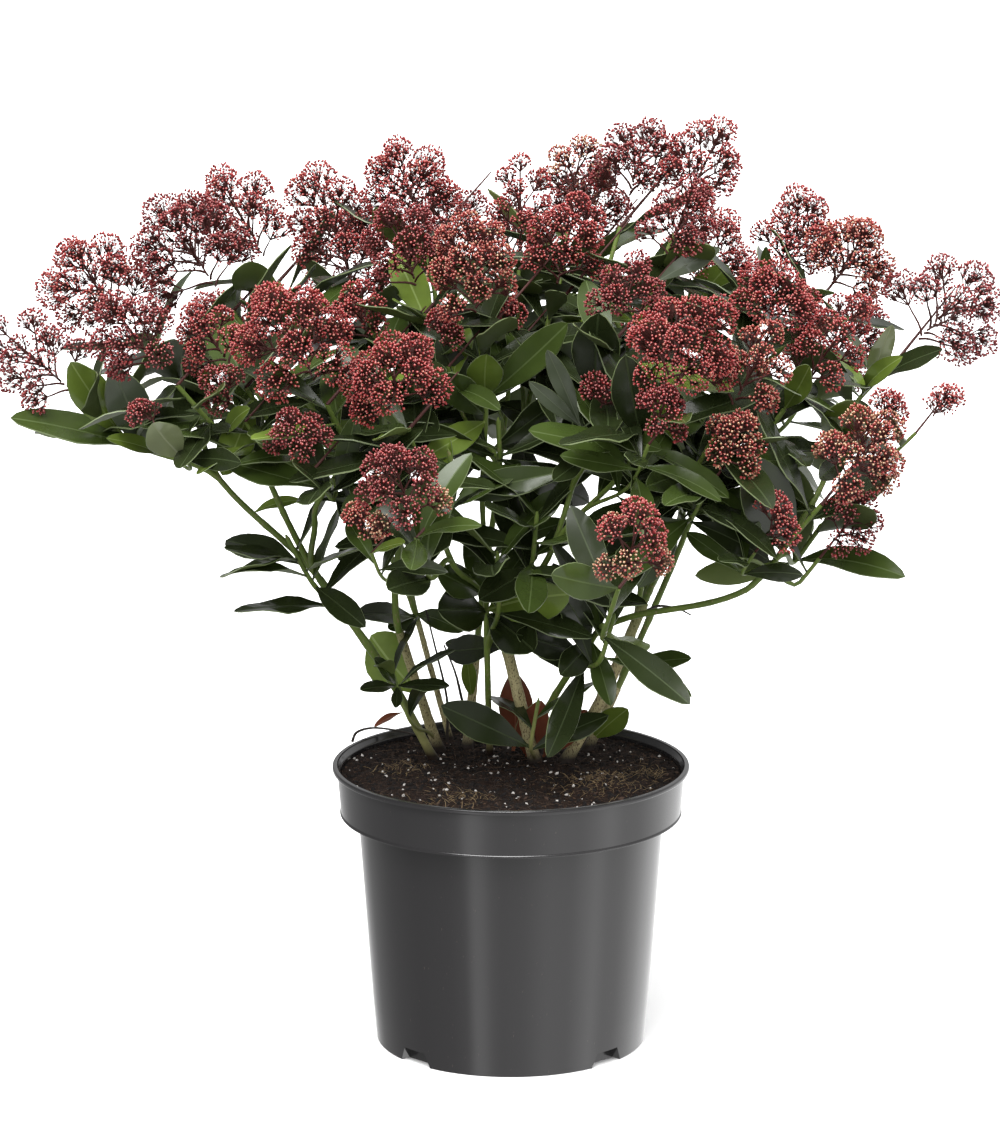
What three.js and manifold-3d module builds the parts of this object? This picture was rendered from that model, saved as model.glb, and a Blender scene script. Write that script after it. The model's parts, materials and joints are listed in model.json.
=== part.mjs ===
// A potted skimmia: a bushy evergreen with a clump of stems, whorls of leathery leaves and
// a panicle of closed red buds on nearly every shoot, in a round five-litre nursery pot.
// Millimetres, +Z up, the middle of the pot's flat underside at the origin, the front to -Y.
// A place on the plant is [bearing, reach, height]: degrees from the front towards the
// right, mm from the pot's axis, and mm above the underside.
import * as THREE from 'three';
import { mergeVertices } from 'three/addons/utils/BufferGeometryUtils.js';
import Module from 'manifold-3d';

const wasm = await Module();
wasm.setup();

// ---- driving dimensions ---------------------------------------------------------------
const CLEAR = 0.3; // between pieces that touch on the real plant
const JOINT = 4; // how far a limb keeps its parent's direction past their joint

const RIM_R = 115, POT_H = 183, LIP = 3.2; // the rolled lip round the top
const COLLAR_H = 32, COLLAR_TOP_R = 112, COLLAR_BOTTOM_R = 109.5;
const BODY_TOP_R = 98.5, BASE_R = 87, WALL = 2.2, FLOOR = 2.8, CORNER = 2;
const NOTCH_H = 9.5, NOTCH_W = 27, NOTCH_TOP_W = 18, NOTCH_DEPTH = 8; // at the four feet
const ROUND = 36; // sides of the turned shapes
const SOIL_Z = 177; // top of the compost

const LEAF_LONG = 80, LEAF_WIDE = 0.3, LEAF_THICK = 1.8; // width as a share of the length
const WIDEST = 0.58, THICKEST = 0.3, FOLD = 0.05, DROOP = 0.07; // shares of its length
const WHORL = 6, FEWER = 5; // most leaves on a leafy and on a flowering shoot
const WHORL_LONG = 24; // the stretch of a shoot that they take
const LEAF_LOW = 84, LEAF_HIGH = 48; // degrees off the shoot, lowest and topmost leaf
const GOLDEN = 137.5; // degrees from one leaf or bud cluster round to the next
const STEM_SIDES = 6, BOUGH_SIDES = 5;
const SHOOT_R = 3.2, SHOOT_TIP_R = 2.4, STALK_TIP_R = 1.2; // to the corners of three sides
const STALK = 18; // bare stalk between the top leaves and the buds
const LEAN = 8, LEAN_PER_MM = 0.13; // degrees that a head leans out, and more with reach
const FLARE = 0.4; // how far a stem widens at its foot
const CLUSTER = 0.24; // radius of a bud cluster as a share of its head's width

// Stems rise from the compost: [foot], [top], radius at the foot and the top, outward bow.
const STEMS = {
  stem_left_green: [[-126, 63], [-85, 122, 307], 4.4, 3.4, -5],
  stem_left_pale: [[-141, 76], [-109, 76, 264], 5.0, 3.6, 0],
  stem_left_thin: [[-154, 91], [-139, 93, 261], 3.2, 2.6, 0],
  stem_centre_back: [[-156, 70], [-165, 83, 248], 4.4, 3.2, 0],
  stem_tall_green: [[-164, 50], [-80, 16, 287], 3.0, 2.6, 3],
  stem_centre: [[150, 31], [-141, 6, 263], 5.0, 4.0, 0],
  stem_front_green: [[169, 51], [69, 56, 271], 3.2, 2.8, -4],
  stem_right: [[129, 47], [106, 89, 283], 5.4, 3.9, 3],
  stem_right_back: [[140, 80], [136, 101, 214], 4.2, 3.3, 0],
};

// Boughs grow on from a stem or another bough: parent, radius at the root and the tip, and
// the tip's place, or the share of the way to the middle of the masses that it carries.
const BOUGHS = {
  bough_left_low: ['stem_left_green', 3.2, 2.6, 0.6],
  bough_left_mid: ['stem_left_green', 3.0, 2.5, 0.55],
  bough_left_inner: ['stem_left_green', 2.9, 2.5, 0.5],
  bough_left_up: ['stem_left_pale', 3.3, 2.6, 0.6],
  bough_left_rear: ['stem_left_thin', 2.7, 2.4, 0.65],
  bough_rear_left: ['stem_left_thin', 2.6, 2.4, 0.6],
  bough_rear: ['stem_centre_back', 3.1, 2.5, 0.6],
  bough_tall: ['stem_tall_green', 2.6, 2.3, 0.5],
  bough_front_left: ['stem_tall_green', 2.6, 2.3, 0.5],
  bough_centre: ['stem_centre', 3.6, 2.7, 0.65],
  bough_front_right: ['stem_centre', 3.3, 2.6, 0.45],
  bough_right_long: ['stem_front_green', 2.9, 2.7, [61, 164, 315]],
  bough_right_outer: ['bough_right_long', 2.6, 2.4, 0.5],
  bough_right_inner: ['stem_right', 3.3, 2.6, 0.4],
  bough_right_up: ['stem_right', 3.5, 2.6, 0.65],
  bough_right_rear: ['stem_right_back', 3.0, 2.5, 0.65],
  bough_rear_right: ['stem_right_back', 2.9, 2.5, 0.6],
};

// Masses of foliage: parent, then one row for each shoot. A flowering shoot's row is the
// middle of its head with the head's width and height.
const FLOWERING = {
  mass_far_left: ['bough_left_low', [-86, 301, 453, 56, 68], [-66, 245, 431, 24, 24]],
  mass_left_outer: ['bough_left_low', [-99, 270, 488, 63, 63]],
  mass_left_front: ['bough_left_mid', [-71, 246, 477, 51, 51], [-72, 196, 473, 43, 46]],
  mass_left_inner: ['bough_left_inner', [-51, 173, 482, 66, 72], [-63, 198, 444, 27, 27],
    [-45, 185, 426, 36, 27]],
  mass_left_high: ['bough_left_rear', [-101, 210, 513, 69, 66], [-117, 196, 525, 54, 64]],
  mass_left_up: ['bough_left_up', [-73, 70, 523, 52, 56], [-67, 103, 484, 37, 37]],
  mass_rear_left_top: ['bough_rear_left', [-124, 141, 523, 57, 70], [-132, 90, 552, 54, 54]],
  mass_rear_left: ['bough_rear_left', [-148, 212, 486, 56, 60], [-128, 246, 440, 50, 50]],
  mass_tall: ['bough_tall', [-23, 65, 517, 52, 67], [-36, 74, 476, 27, 27], [-8, 58, 418]],
  mass_front_left_high: ['bough_front_left', [-31, 140, 459, 60, 45], [-20, 112, 408]],
  mass_front_left: ['bough_front_left', [-19, 201, 406, 50, 55], [-28, 192, 376, 21, 23]],
  mass_centre_top: ['bough_centre', [174, 60, 539, 38, 57], [90, 35, 523, 50, 59],
    [-3, 20, 477, 25, 25]],
  mass_centre_rear: ['bough_centre', [159, 118, 551, 42, 45]],
  mass_front_right_high: ['bough_front_right', [42, 108, 505, 42, 39], [27, 123, 444, 27, 21],
    [30, 84, 416]],
  mass_front_right: ['bough_front_right', [38, 166, 480, 65, 65], [31, 175, 444, 30, 30]],
  mass_front_low: ['stem_front_green', [19, 223, 377, 46, 52]],
  mass_right_inner: ['bough_right_inner', [53, 184, 461, 45, 66], [46, 188, 421, 36, 36],
    [54, 142, 396]],
  mass_right_side: ['bough_right_inner', [77, 173, 492, 55, 37], [73, 207, 467, 43, 67]],
  mass_right_top: ['bough_right_up', [134, 115, 562, 51, 54], [90, 107, 536, 47, 50]],
  mass_right_top_rear: ['bough_right_up', [116, 137, 562, 48, 60]],
  mass_right_high: ['bough_right_rear', [108, 194, 517, 51, 51], [95, 216, 510, 56, 44]],
  mass_far_right: ['bough_right_outer', [88, 277, 483, 74, 62], [77, 276, 430, 28, 28],
    [71, 246, 430, 24, 24]],
  mass_right_low: ['bough_right_long', [61, 246, 410, 51, 54], [67, 228, 363, 36, 36],
    [51, 206, 370, 27, 27], [76, 200, 350]],
  mass_rear: ['bough_rear', [180, 215, 480, 58, 62], [-166, 168, 504, 52, 58]],
  mass_rear_low: ['bough_rear', [-172, 258, 418, 50, 52], [162, 248, 424, 50, 50]],
  mass_rear_right_top: ['bough_rear_right', [142, 216, 486, 58, 60], [162, 166, 522, 52, 55]],
  mass_rear_right: ['bough_rear_right', [122, 262, 436, 54, 54]],
};

// Leafy side shoots: parent, how far up it they leave it, and the place of each one's top,
// with its size where it is a small one.
const LEAFY = {
  mass_leaves_left: ['stem_left_green', 0.9, [-74, 146, 340]],
  mass_leaves_low_left: ['stem_left_pale', 0.45, [-96, 76, 240, 0.6]],
  mass_leaves_centre: ['stem_tall_green', 0.9, [-8, 62, 334], [16, 58, 358]],
  mass_leaves_right: ['stem_front_green', 0.9, [50, 84, 292]],
  mass_leaves_low: ['stem_centre', 0.3, [60, 20, 226, 0.8]],
};

const COLOURS = {
  pot: 0x1d1e20, compost: 0x2a1d18, bark: 0xa89a72, green: 0x62772f, foliage: 0x3d5a2c,
};

// ---- helpers --------------------------------------------------------------------------
const vec = (x, y, z) => new THREE.Vector3(x, y, z);
const UP = vec(0, 0, 1);
const radians = THREE.MathUtils.degToRad;

function place([bearing, reach, height = SOIL_Z]) {
  const a = radians(bearing);
  return vec(reach * Math.sin(a), -reach * Math.cos(a), height);
}

const along = (p, d, s) => p.clone().addScaledVector(d, s);
const toward = (from, to) => to.clone().sub(from).normalize();
const cross = (a, b) => a.clone().cross(b).normalize();

function dice(seed) { // numbers from 0 to 1 that are the same on every build
  let s = (seed * 48271 + 11) % 2147483647;
  return () => {
    s = (s * 16807) % 2147483647;
    return s / 2147483647;
  };
}

function sideways(d, degrees) { // the direction square to d at this angle round it
  const a = cross(d, Math.abs(d.z) < 0.9 ? UP : vec(1, 0, 0));
  const b = cross(d, a);
  const t = radians(degrees);
  return a.multiplyScalar(Math.cos(t)).addScaledVector(b, Math.sin(t));
}

function solidOf(points, faces) {
  return new wasm.Manifold(new wasm.Mesh({
    numProp: 3,
    vertProperties: new Float32Array(points.flatMap((p) => [p.x, p.y, p.z])),
    triVerts: new Uint32Array(faces.flat()),
  }));
}

function fromGeometry(geometry, merge = 1e-4) {
  const g = geometry.clone();
  for (const extra of ['normal', 'uv']) g.deleteAttribute(extra);
  const m = mergeVertices(g, merge);
  return new wasm.Manifold(new wasm.Mesh({
    numProp: 3,
    vertProperties: new Float32Array(m.attributes.position.array),
    triVerts: new Uint32Array(m.index.array),
  }));
}

function toGeometry(solid) {
  const { vertProperties, triVerts } = solid.getMesh();
  return new THREE.BufferGeometry()
    .setAttribute('position', new THREE.BufferAttribute(Float32Array.from(vertProperties), 3))
    .setIndex(Array.from(triVerts));
}

function largest(solid) { // drops loose scraps and fills sealed hollows
  const bodies = solid.decompose();
  return bodies.reduce((a, b) => (b.volume() > a.volume() ? b : a));
}

// One body, with no two vertices closer than a micron.
const settled = (solid) => largest(fromGeometry(toGeometry(largest(solid)), 1e-3));

// ---- limbs ----------------------------------------------------------------------------
function bend(from, fromDir, to, toDir, pull = 0.35) {
  const reach = from.distanceTo(to) * pull;
  return new THREE.CubicBezierCurve3(from, along(from, fromDir, reach), along(to, toDir, -reach), to);
}

function rod(path, radii, sides, grow = 0) { // a tapering rod along a line of points
  const last = path.length - 1;
  const points = [], faces = [];
  let across = null;
  path.forEach((p, i) => {
    const d = toward(path[Math.max(0, i - 1)], path[Math.min(last, i + 1)]);
    across = across ? across.addScaledVector(d, -across.dot(d)).normalize() : sideways(d, 0);
    const over = cross(d, across);
    const middle = along(p, d, i === 0 ? -grow : i === last ? grow : 0);
    for (let j = 0; j < sides; j++) {
      const a = (2 * Math.PI * j) / sides, r = radii[i] + grow;
      points.push(along(along(middle, across, r * Math.cos(a)), over, r * Math.sin(a)));
    }
  });
  points.push(path[0], path[last]);
  const ring = (i, j) => i * sides + (j % sides);
  for (let j = 0; j < sides; j++) {
    faces.push([points.length - 2, ring(0, j + 1), ring(0, j)]);
    faces.push([points.length - 1, ring(last, j), ring(last, j + 1)]);
    for (let i = 0; i < last; i++) {
      faces.push([ring(i, j), ring(i, j + 1), ring(i + 1, j + 1)]);
      faces.push([ring(i, j), ring(i + 1, j + 1), ring(i + 1, j)]);
    }
  }
  return solidOf(points, faces);
}

const between = (a, b, t) => a + (b - a) * t;
const tapers = (a, b, count) => Array.from({ length: count }, (_, i) => between(a, b, i / (count - 1)));
const limbs = {}; // every stem and bough with its tip, direction, solid and grown solid

function boxOf(solid) {
  const { min, max } = solid.boundingBox();
  return new THREE.Box3(vec(...min), vec(...max));
}

function cutClear(solid, others) { // pares a limb back to CLEAR from what it grows on
  let kept = solid;
  for (const o of others) {
    if (o.box.intersectsBox(boxOf(kept))) kept = kept.subtract(o.grown);
  }
  return largest(kept);
}

function addLimb(name, path, dir, radii, sides, ground = null) {
  let solid = rod(path, radii, sides);
  if (ground) solid = solid.subtract(ground);
  solid = cutClear(solid, Object.values(limbs));
  const grown = rod(path, radii, sides, CLEAR);
  limbs[name] = { solid, grown, box: boxOf(grown), path, tip: path.at(-1), dir, children: 0 };
}

const ground = fromGeometry(new THREE.BoxGeometry(300, 300, 100)
  .translate(0, 0, SOIL_Z + CLEAR - 50));

for (const [name, [foot, top, footR, topR, bow]] of Object.entries(STEMS)) {
  const from = place(foot), to = place(top);
  const out = vec(to.x - from.x, to.y - from.y, 0).normalize();
  const middle = along(from.clone().lerp(to, 0.45), out, bow);
  const curve = new THREE.CatmullRomCurve3([along(from, toward(from, middle), -6), from,
    along(from, toward(from, middle), 7), middle, to]);
  const radii = tapers(footR, topR, 9).map((r, i) => r * (1 + FLARE * Math.max(0, 1 - i / 4)));
  addLimb(name, curve.getPoints(8), curve.getTangent(1), radii, STEM_SIDES, ground);
}

// What grows on from a limb's end: the first stands face to face with it, and the others
// come out of the first one's side a little further on.
function growFrom(parent, to, endDir, steps) {
  const { tip, dir } = parent;
  const before = parent.children;
  parent.children += 1;
  const from = along(tip, dir, JOINT * Math.max(1, before));
  const start = dir.clone().addScaledVector(toward(from, to), 0.5 + 0.4 * before).normalize();
  const curve = bend(from, start, to, endDir);
  return { curve, path: [...(before ? [] : [along(tip, dir, CLEAR)]), ...curve.getPoints(steps)] };
}

// Where a shoot ends: its direction there, the foot of its head, the top of its leaves and
// the start of them.
function shootEnd(row) {
  const [bearing, reach, , wide = 0, high = 0] = row;
  const lean = radians(LEAN + LEAN_PER_MM * reach);
  const d = UP.clone().multiplyScalar(Math.cos(lean))
    .addScaledVector(place([bearing, 1, 0]), Math.sin(lean));
  const size = wide ? Math.min(1, Math.max(0.6, wide / 42)) : 1; // small side shoots
  const base = along(place(row), d, -high / 2);
  const top = along(base, d, wide ? -STALK * size : 0);
  return { d, wide, high, size, base, top, low: along(top, d, -WHORL_LONG * size) };
}

const masses = Object.entries(FLOWERING).map(([name, [parent, ...rows]]) => (
  { name, parent, shoots: rows.map(shootEnd), pieces: [] }));

function middleOf(bough) { // of the shoots that a bough and the boughs on it carry
  const list = masses.filter((m) => m.parent === bough).flatMap((m) => m.shoots);
  return list.reduce((sum, s) => sum.add(s.low), vec(0, 0, 0)).divideScalar(list.length);
}

for (const [name, [parent, rootR, tipR, tip]] of Object.entries(BOUGHS)) {
  const from = limbs[parent].tip;
  const to = Array.isArray(tip) ? place(tip) : from.clone().lerp(middleOf(name), tip);
  const end = toward(from, to).addScaledVector(UP, 0.15).normalize();
  const { path } = growFrom(limbs[parent], to, end, 5);
  addLimb(name, path, end, tapers(rootR, tipR, path.length), BOUGH_SIDES);
}

// ---- leaves and flower heads ------------------------------------------------------------
function leafSolid(root, u, face, long, wide, grow = 0) {
  const side = cross(face, u);
  const rib = along(root, u, long * THICKEST);
  const edge = (s) => along(along(along(root, u, long * WIDEST), side, s * (wide / 2 + grow)),
    face, FOLD * long);
  const points = [root, edge(1), edge(-1), along(rib, face, LEAF_THICK / 2 + grow),
    along(rib, face, -LEAF_THICK / 2 - grow), along(along(root, u, long + grow), face, -DROOP * long)];
  return solidOf(points, [[0, 3, 1], [0, 2, 3], [3, 5, 1], [3, 2, 5], [0, 1, 4], [0, 4, 2],
    [4, 1, 5], [4, 5, 2]]);
}

function clusterSolid(foot, middle, r, sides, grow = 0) {
  const d = toward(foot, middle);
  const points = [along(foot, d, -grow)];
  for (let j = 0; j < sides; j++) {
    points.push(along(middle, sideways(d, (360 * j) / sides), r + grow));
  }
  points.push(along(middle, d, 0.75 * r + grow));
  const faces = [];
  for (let j = 0; j < sides; j++) {
    const a = 1 + j, b = 1 + ((j + 1) % sides);
    faces.push([0, b, a], [sides + 1, a, b]);
  }
  return solidOf(points, faces);
}

// A head: the topmost cluster and the rest in a spiral under it, each as [foot, middle, r].
function clusters(base, d, wide, high, roll) {
  const count = wide < 30 ? 1 : wide < 48 ? 4 : 5;
  const r = count === 1 ? wide / 2 : wide * CLUSTER;
  const list = [[along(base, d, 0.3 * high), along(base, d, high - 0.75 * r), r]];
  for (let i = 0; i < count - 1; i++) {
    const t = (i + 0.5) / (count - 1);
    const up = high * (0.22 + 0.46 * t);
    const out = (wide / 2 - r) * Math.sqrt(1 - 0.6 * t * t);
    const side = sideways(d, roll + GOLDEN * i);
    list.push([along(base, d, 0.45 * high * t), along(along(base, d, up), side, out), r]);
  }
  return list;
}

for (const mass of masses) {
  let stem = null;
  mass.shoots.forEach((shoot, i) => {
    const { top, low, d, base, wide, high } = shoot;
    const steps = Math.max(2, Math.round(low.distanceTo(limbs[mass.parent].tip) / 50));
    if (i === 0) {
      ({ curve: stem, path: shoot.path } = growFrom(limbs[mass.parent], low, d, steps));
    } else {
      const at = 0.2 + 0.12 * i;
      const from = stem.getPoint(at);
      const start = stem.getTangent(at).add(toward(from, low)).normalize();
      shoot.path = bend(from, start, low, d).getPoints(steps);
    }
    shoot.path.push(top);
    if (wide) shoot.path.push(along(base, d, 0.7 * high));
  });
}
for (const [name, [parent, share, ...rows]] of Object.entries(LEAFY)) {
  const { path } = limbs[parent];
  const from = path[Math.round(share * (path.length - 1))];
  const shoots = rows.map(([bearing, reach, height, size = 1]) => {
    const shoot = { ...shootEnd([bearing, reach, height]), size };
    const start = toward(from, shoot.low).addScaledVector(UP, 0.3).normalize();
    shoot.path = [...bend(from, start, shoot.low, shoot.d).getPoints(3), shoot.top];
    return shoot;
  });
  masses.push({ name, shoots, pieces: [] });
}
masses.forEach((mass, index) => {
  mass.roll = dice(index + 1);
  for (const shoot of mass.shoots) shoot.roll = 360 * mass.roll();
});

const placed = []; // what a leaf or a cluster has to stay clear of, with the mass it is in
for (const limb of Object.values(limbs)) placed.push({ solid: limb.solid, box: limb.box });

function free(probe, mass) { // whether it is clear of all but its own mass
  const box = boxOf(probe);
  return !placed.some((p) => !(mass && p.mass === mass) && p.box.intersectsBox(box)
    && p.solid.intersect(probe).volume() > 0);
}

function keep(mass, solid) {
  mass.pieces.push(solid);
  placed.push({ mass, solid, box: boxOf(solid) });
}

// Shoots first, then heads, then the leaves in turns, so that each mass gets its share.
for (const mass of masses) {
  const others = [...Object.values(limbs), ...masses.flatMap((m) => m.wood ?? [])];
  mass.wood = [];
  for (const { path, size, wide } of mass.shoots) {
    const radii = tapers(SHOOT_R * size, SHOOT_TIP_R * size, path.length);
    if (wide) radii[radii.length - 1] = STALK_TIP_R;
    keep(mass, cutClear(rod(path, radii, 3), others));
    const grown = rod(path, radii, 3, CLEAR);
    mass.wood.push({ grown, box: boxOf(grown) });
  }
}
for (const mass of masses) {
  for (const { base, d, wide, high, roll } of mass.shoots.filter((s) => s.wide)) {
    for (const [foot, middle, r] of clusters(base, d, wide, high, roll)) {
      const sides = wide < 30 ? 5 : 4;
      if (free(clusterSolid(foot, middle, r, sides, CLEAR), mass)) {
        keep(mass, clusterSolid(foot, middle, r, sides));
      }
    }
  }
}
for (let k = 0; k < WHORL; k++) {
  for (const mass of masses) {
    for (const { top, d, wide, size, roll } of mass.shoots) {
      const lot = mass.roll();
      if (wide && k >= Math.min(FEWER, wide / 12)) continue;
      const t = k / (WHORL - 1);
      const axis = along(top, d, -WHORL_LONG * size * (1 - t));
      const tilt = radians(LEAF_LOW + (LEAF_HIGH - LEAF_LOW) * t);
      const long = LEAF_LONG * (0.8 + 0.3 * lot) * size;
      for (let turn = 0; turn < 3; turn++) { // turned a little where it would touch another
        const u = sideways(d, roll + GOLDEN * k + 22 * turn).multiplyScalar(Math.sin(tilt))
          .addScaledVector(d, Math.cos(tilt)).addScaledVector(UP, 0.15).normalize();
        const face = d.clone().addScaledVector(u, -d.dot(u)).normalize();
        const blade = leafSolid(along(axis, u, 10), u, face, long - 10, long * LEAF_WIDE, CLEAR);
        const leaf = (grow) => leafSolid(along(axis, u, -1), u, face, long, long * LEAF_WIDE, grow);
        if (free(blade, null) && free(leaf(CLEAR), mass)) {
          keep(mass, leaf(0));
          break;
        }
      }
    }
  }
}

// ---- pot and compost ----------------------------------------------------------------------
const lathe = (profile) => fromGeometry(new THREE.LatheGeometry(
  profile.map(([r, z]) => new THREE.Vector2(r, z)), ROUND).rotateX(Math.PI / 2));

const LEDGE_Z = POT_H - COLLAR_H; // where the wall steps out into the collar
const outside = lathe([[0, 0], [BASE_R - CORNER, 0], [BASE_R, CORNER], [BODY_TOP_R, LEDGE_Z],
  [COLLAR_BOTTOM_R - 1, LEDGE_Z], [COLLAR_BOTTOM_R, LEDGE_Z + 1], [COLLAR_TOP_R, POT_H - LIP],
  [RIM_R - 0.8, POT_H - LIP], [RIM_R, POT_H - LIP / 2], [RIM_R - 1, POT_H], [0, POT_H]]);
const innerR = (z) => between(BASE_R, BODY_TOP_R, z / LEDGE_Z) - WALL;
const collarR = (z) => between(COLLAR_BOTTOM_R, COLLAR_TOP_R, (z - LEDGE_Z) / COLLAR_H) - WALL;

function inside(gap, top) { // the room in the pot, this much clear of its walls
  const step = LEDGE_Z + WALL + gap;
  return lathe([[0, FLOOR + gap], [innerR(FLOOR) - gap, FLOOR + gap], [innerR(step) - gap, step],
    [collarR(step) - gap, step], [collarR(top) - gap, top], [0, top]]);
}

function notches(grow) { // the four cut-outs between the feet, taken in from outside
  const shape = new THREE.Shape([[-NOTCH_W / 2 - grow, -grow - 1], [NOTCH_W / 2 + grow, -grow - 1],
    [NOTCH_TOP_W / 2 + grow, NOTCH_H + grow], [-NOTCH_TOP_W / 2 - grow, NOTCH_H + grow]]
    .map(([x, y]) => new THREE.Vector2(x, y)));
  const block = new THREE.ExtrudeGeometry(shape, { depth: 40, bevelEnabled: false })
    .rotateX(Math.PI / 2).translate(0, -(BASE_R - NOTCH_DEPTH) + grow, 0);
  return [45, 135, 225, 315].map((a) => fromGeometry(block.clone().rotateZ(radians(a))))
    .reduce((a, b) => a.add(b));
}

const room = inside(0, POT_H + 5).subtract(notches(WALL));
const pot = outside.subtract(notches(0)).subtract(room);
const compost = inside(CLEAR, SOIL_Z).subtract(notches(WALL + CLEAR));

// ---- the part -----------------------------------------------------------------------------
const part = new THREE.Group();
part.name = 'skimmia';

function add(name, solid, color, roughness) {
  const mesh = new THREE.Mesh(toGeometry(settled(solid)),
    new THREE.MeshStandardMaterial({ color, roughness }));
  mesh.name = name;
  part.add(mesh);
}

add('pot', pot, COLOURS.pot, 0.3);
add('compost', compost, COLOURS.compost, 1);
for (const [name, { solid }] of Object.entries(limbs)) {
  add(name, solid, name.startsWith('stem') ? COLOURS.bark : COLOURS.green, 0.8);
}
for (const { name, pieces } of masses) {
  add(name, wasm.Manifold.union(pieces), COLOURS.foliage, 0.5);
}

export default part;
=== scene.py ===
import json
import math

import bmesh
import bpy
import numpy as np
from mathutils import Matrix, Vector

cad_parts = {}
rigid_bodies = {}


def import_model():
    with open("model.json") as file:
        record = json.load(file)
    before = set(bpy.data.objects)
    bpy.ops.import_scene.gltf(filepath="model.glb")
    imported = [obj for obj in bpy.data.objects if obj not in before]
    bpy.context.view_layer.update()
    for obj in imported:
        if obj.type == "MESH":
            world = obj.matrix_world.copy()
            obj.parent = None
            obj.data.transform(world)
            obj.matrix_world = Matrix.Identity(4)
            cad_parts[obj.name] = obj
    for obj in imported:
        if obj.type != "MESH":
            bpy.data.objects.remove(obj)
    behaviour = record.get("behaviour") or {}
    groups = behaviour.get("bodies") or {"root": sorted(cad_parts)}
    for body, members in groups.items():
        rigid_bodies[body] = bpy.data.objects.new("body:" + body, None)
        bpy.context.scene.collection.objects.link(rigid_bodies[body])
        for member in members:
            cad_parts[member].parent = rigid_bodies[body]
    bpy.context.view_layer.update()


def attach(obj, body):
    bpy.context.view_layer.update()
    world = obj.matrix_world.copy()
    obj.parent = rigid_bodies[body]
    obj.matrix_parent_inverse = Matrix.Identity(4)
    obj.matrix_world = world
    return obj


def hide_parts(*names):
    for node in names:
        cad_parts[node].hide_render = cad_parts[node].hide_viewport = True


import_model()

MM = 0.001
RIM_R, POT_H, LIP = 115, 183, 3.2
COLLAR_H, COLLAR_TOP_R, COLLAR_BOTTOM_R = 32, 112, 109.5
BODY_TOP_R, BASE_R, WALL, FLOOR = 98.5, 87, 2.2, 2.8
NOTCH_H, NOTCH_W, NOTCH_TOP_W, NOTCH_DEPTH = 9.5, 27, 18, 8
POT_SIDES = 160
LEDGE_Z = POT_H - COLLAR_H


def in_scene(name, data):
    """An object for this mesh or camera, linked into the scene."""
    piece = bpy.data.objects.new(name, data)
    bpy.context.scene.collection.objects.link(piece)
    return piece


def mesh_piece(name, points, faces):
    """A mesh object in the scene, its points given in millimetres."""
    mesh = bpy.data.meshes.new(name)
    mesh.from_pydata((np.asarray(points, float) * MM).tolist(), [], faces)
    mesh.update()
    return in_scene(name, mesh)


def rounded(corners, radius=1.0, steps=4):
    """A profile's corners each turned into a short arc, the first and last left as they are."""
    out = [corners[0]]
    for a, b, c in zip(corners, corners[1:], corners[2:]):
        a, b, c = (np.array(p, float) for p in (a, b, c))
        r = min(radius, np.linalg.norm(b - a) / 2.1, np.linalg.norm(c - b) / 2.1)
        start = b + (a - b) / np.linalg.norm(a - b) * r
        end = b + (c - b) / np.linalg.norm(c - b) * r
        for i in range(steps + 1):
            t = i / steps
            out.append(tuple((1 - t) ** 2 * start + 2 * t * (1 - t) * b + t * t * end))
    return out + [corners[-1]]


def turned(name, profile, sides=POT_SIDES):
    """A closed turned body from a profile that starts and ends on the axis."""
    points, faces, rings = [], [], []
    for r, z in profile:
        if r < 1e-6:
            rings.append([len(points)])
            points.append((0, 0, z))
        else:
            rings.append(list(range(len(points), len(points) + sides)))
            for i in range(sides):
                a = 2 * math.pi * i / sides
                points.append((r * math.cos(a), r * math.sin(a), z))
    for low, high in zip(rings, rings[1:]):
        for i in range(sides):
            j = (i + 1) % sides
            quad = [ring[k % len(ring)] for ring, k in ((low, i), (low, j), (high, j), (high, i))]
            faces.append(list(dict.fromkeys(quad)))
    return mesh_piece(name, points, faces)


def cut_outs(name, grow):
    """The four wedges that the moulding leaves out between the feet."""
    points, faces = [], []
    inner, outer = BASE_R - NOTCH_DEPTH - grow, BASE_R + 25
    low, high = -grow - 1, NOTCH_H + grow
    for turn in (45, 135, 225, 315):
        a = math.radians(turn)
        out = np.array([math.sin(a), -math.cos(a), 0])
        side = np.array([math.cos(a), math.sin(a), 0])
        n = len(points)
        for r in (inner, outer):
            for x, z in ((-NOTCH_W / 2 - grow, low), (NOTCH_W / 2 + grow, low),
                         (NOTCH_TOP_W / 2 + grow, high), (-NOTCH_TOP_W / 2 - grow, high)):
                points.append(out * r + side * x + np.array([0, 0, z]))
        faces += [[n + i for i in f] for f in (
            (0, 3, 2, 1), (4, 5, 6, 7), (0, 1, 5, 4), (1, 2, 6, 5), (2, 3, 7, 6), (3, 0, 4, 7))]
    return mesh_piece(name, points, faces)


def point_out(piece):
    """Merges doubled points and turns every face outwards."""
    work = bmesh.new()
    work.from_mesh(piece.data)
    bmesh.ops.remove_doubles(work, verts=work.verts, dist=2e-6)
    bmesh.ops.recalc_face_normals(work, faces=work.faces)
    work.to_mesh(piece.data)
    work.free()


def as_modified(piece):
    """A piece's mesh as its modifiers leave it."""
    graph = bpy.context.evaluated_depsgraph_get()
    return bpy.data.meshes.new_from_object(piece.evaluated_get(graph))


def cut_away(piece, *cutters):
    """Takes each cutter's space out of a piece and removes the cutter."""
    for cutter in cutters:
        point_out(cutter)
        step = piece.modifiers.new("cut", "BOOLEAN")
        step.operation, step.solver, step.object = "DIFFERENCE", "EXACT", cutter
        mesh = as_modified(piece)
        piece.modifiers.remove(step)
        old, piece.data = piece.data, mesh
        bpy.data.meshes.remove(old)
        bpy.data.objects.remove(cutter)


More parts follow.
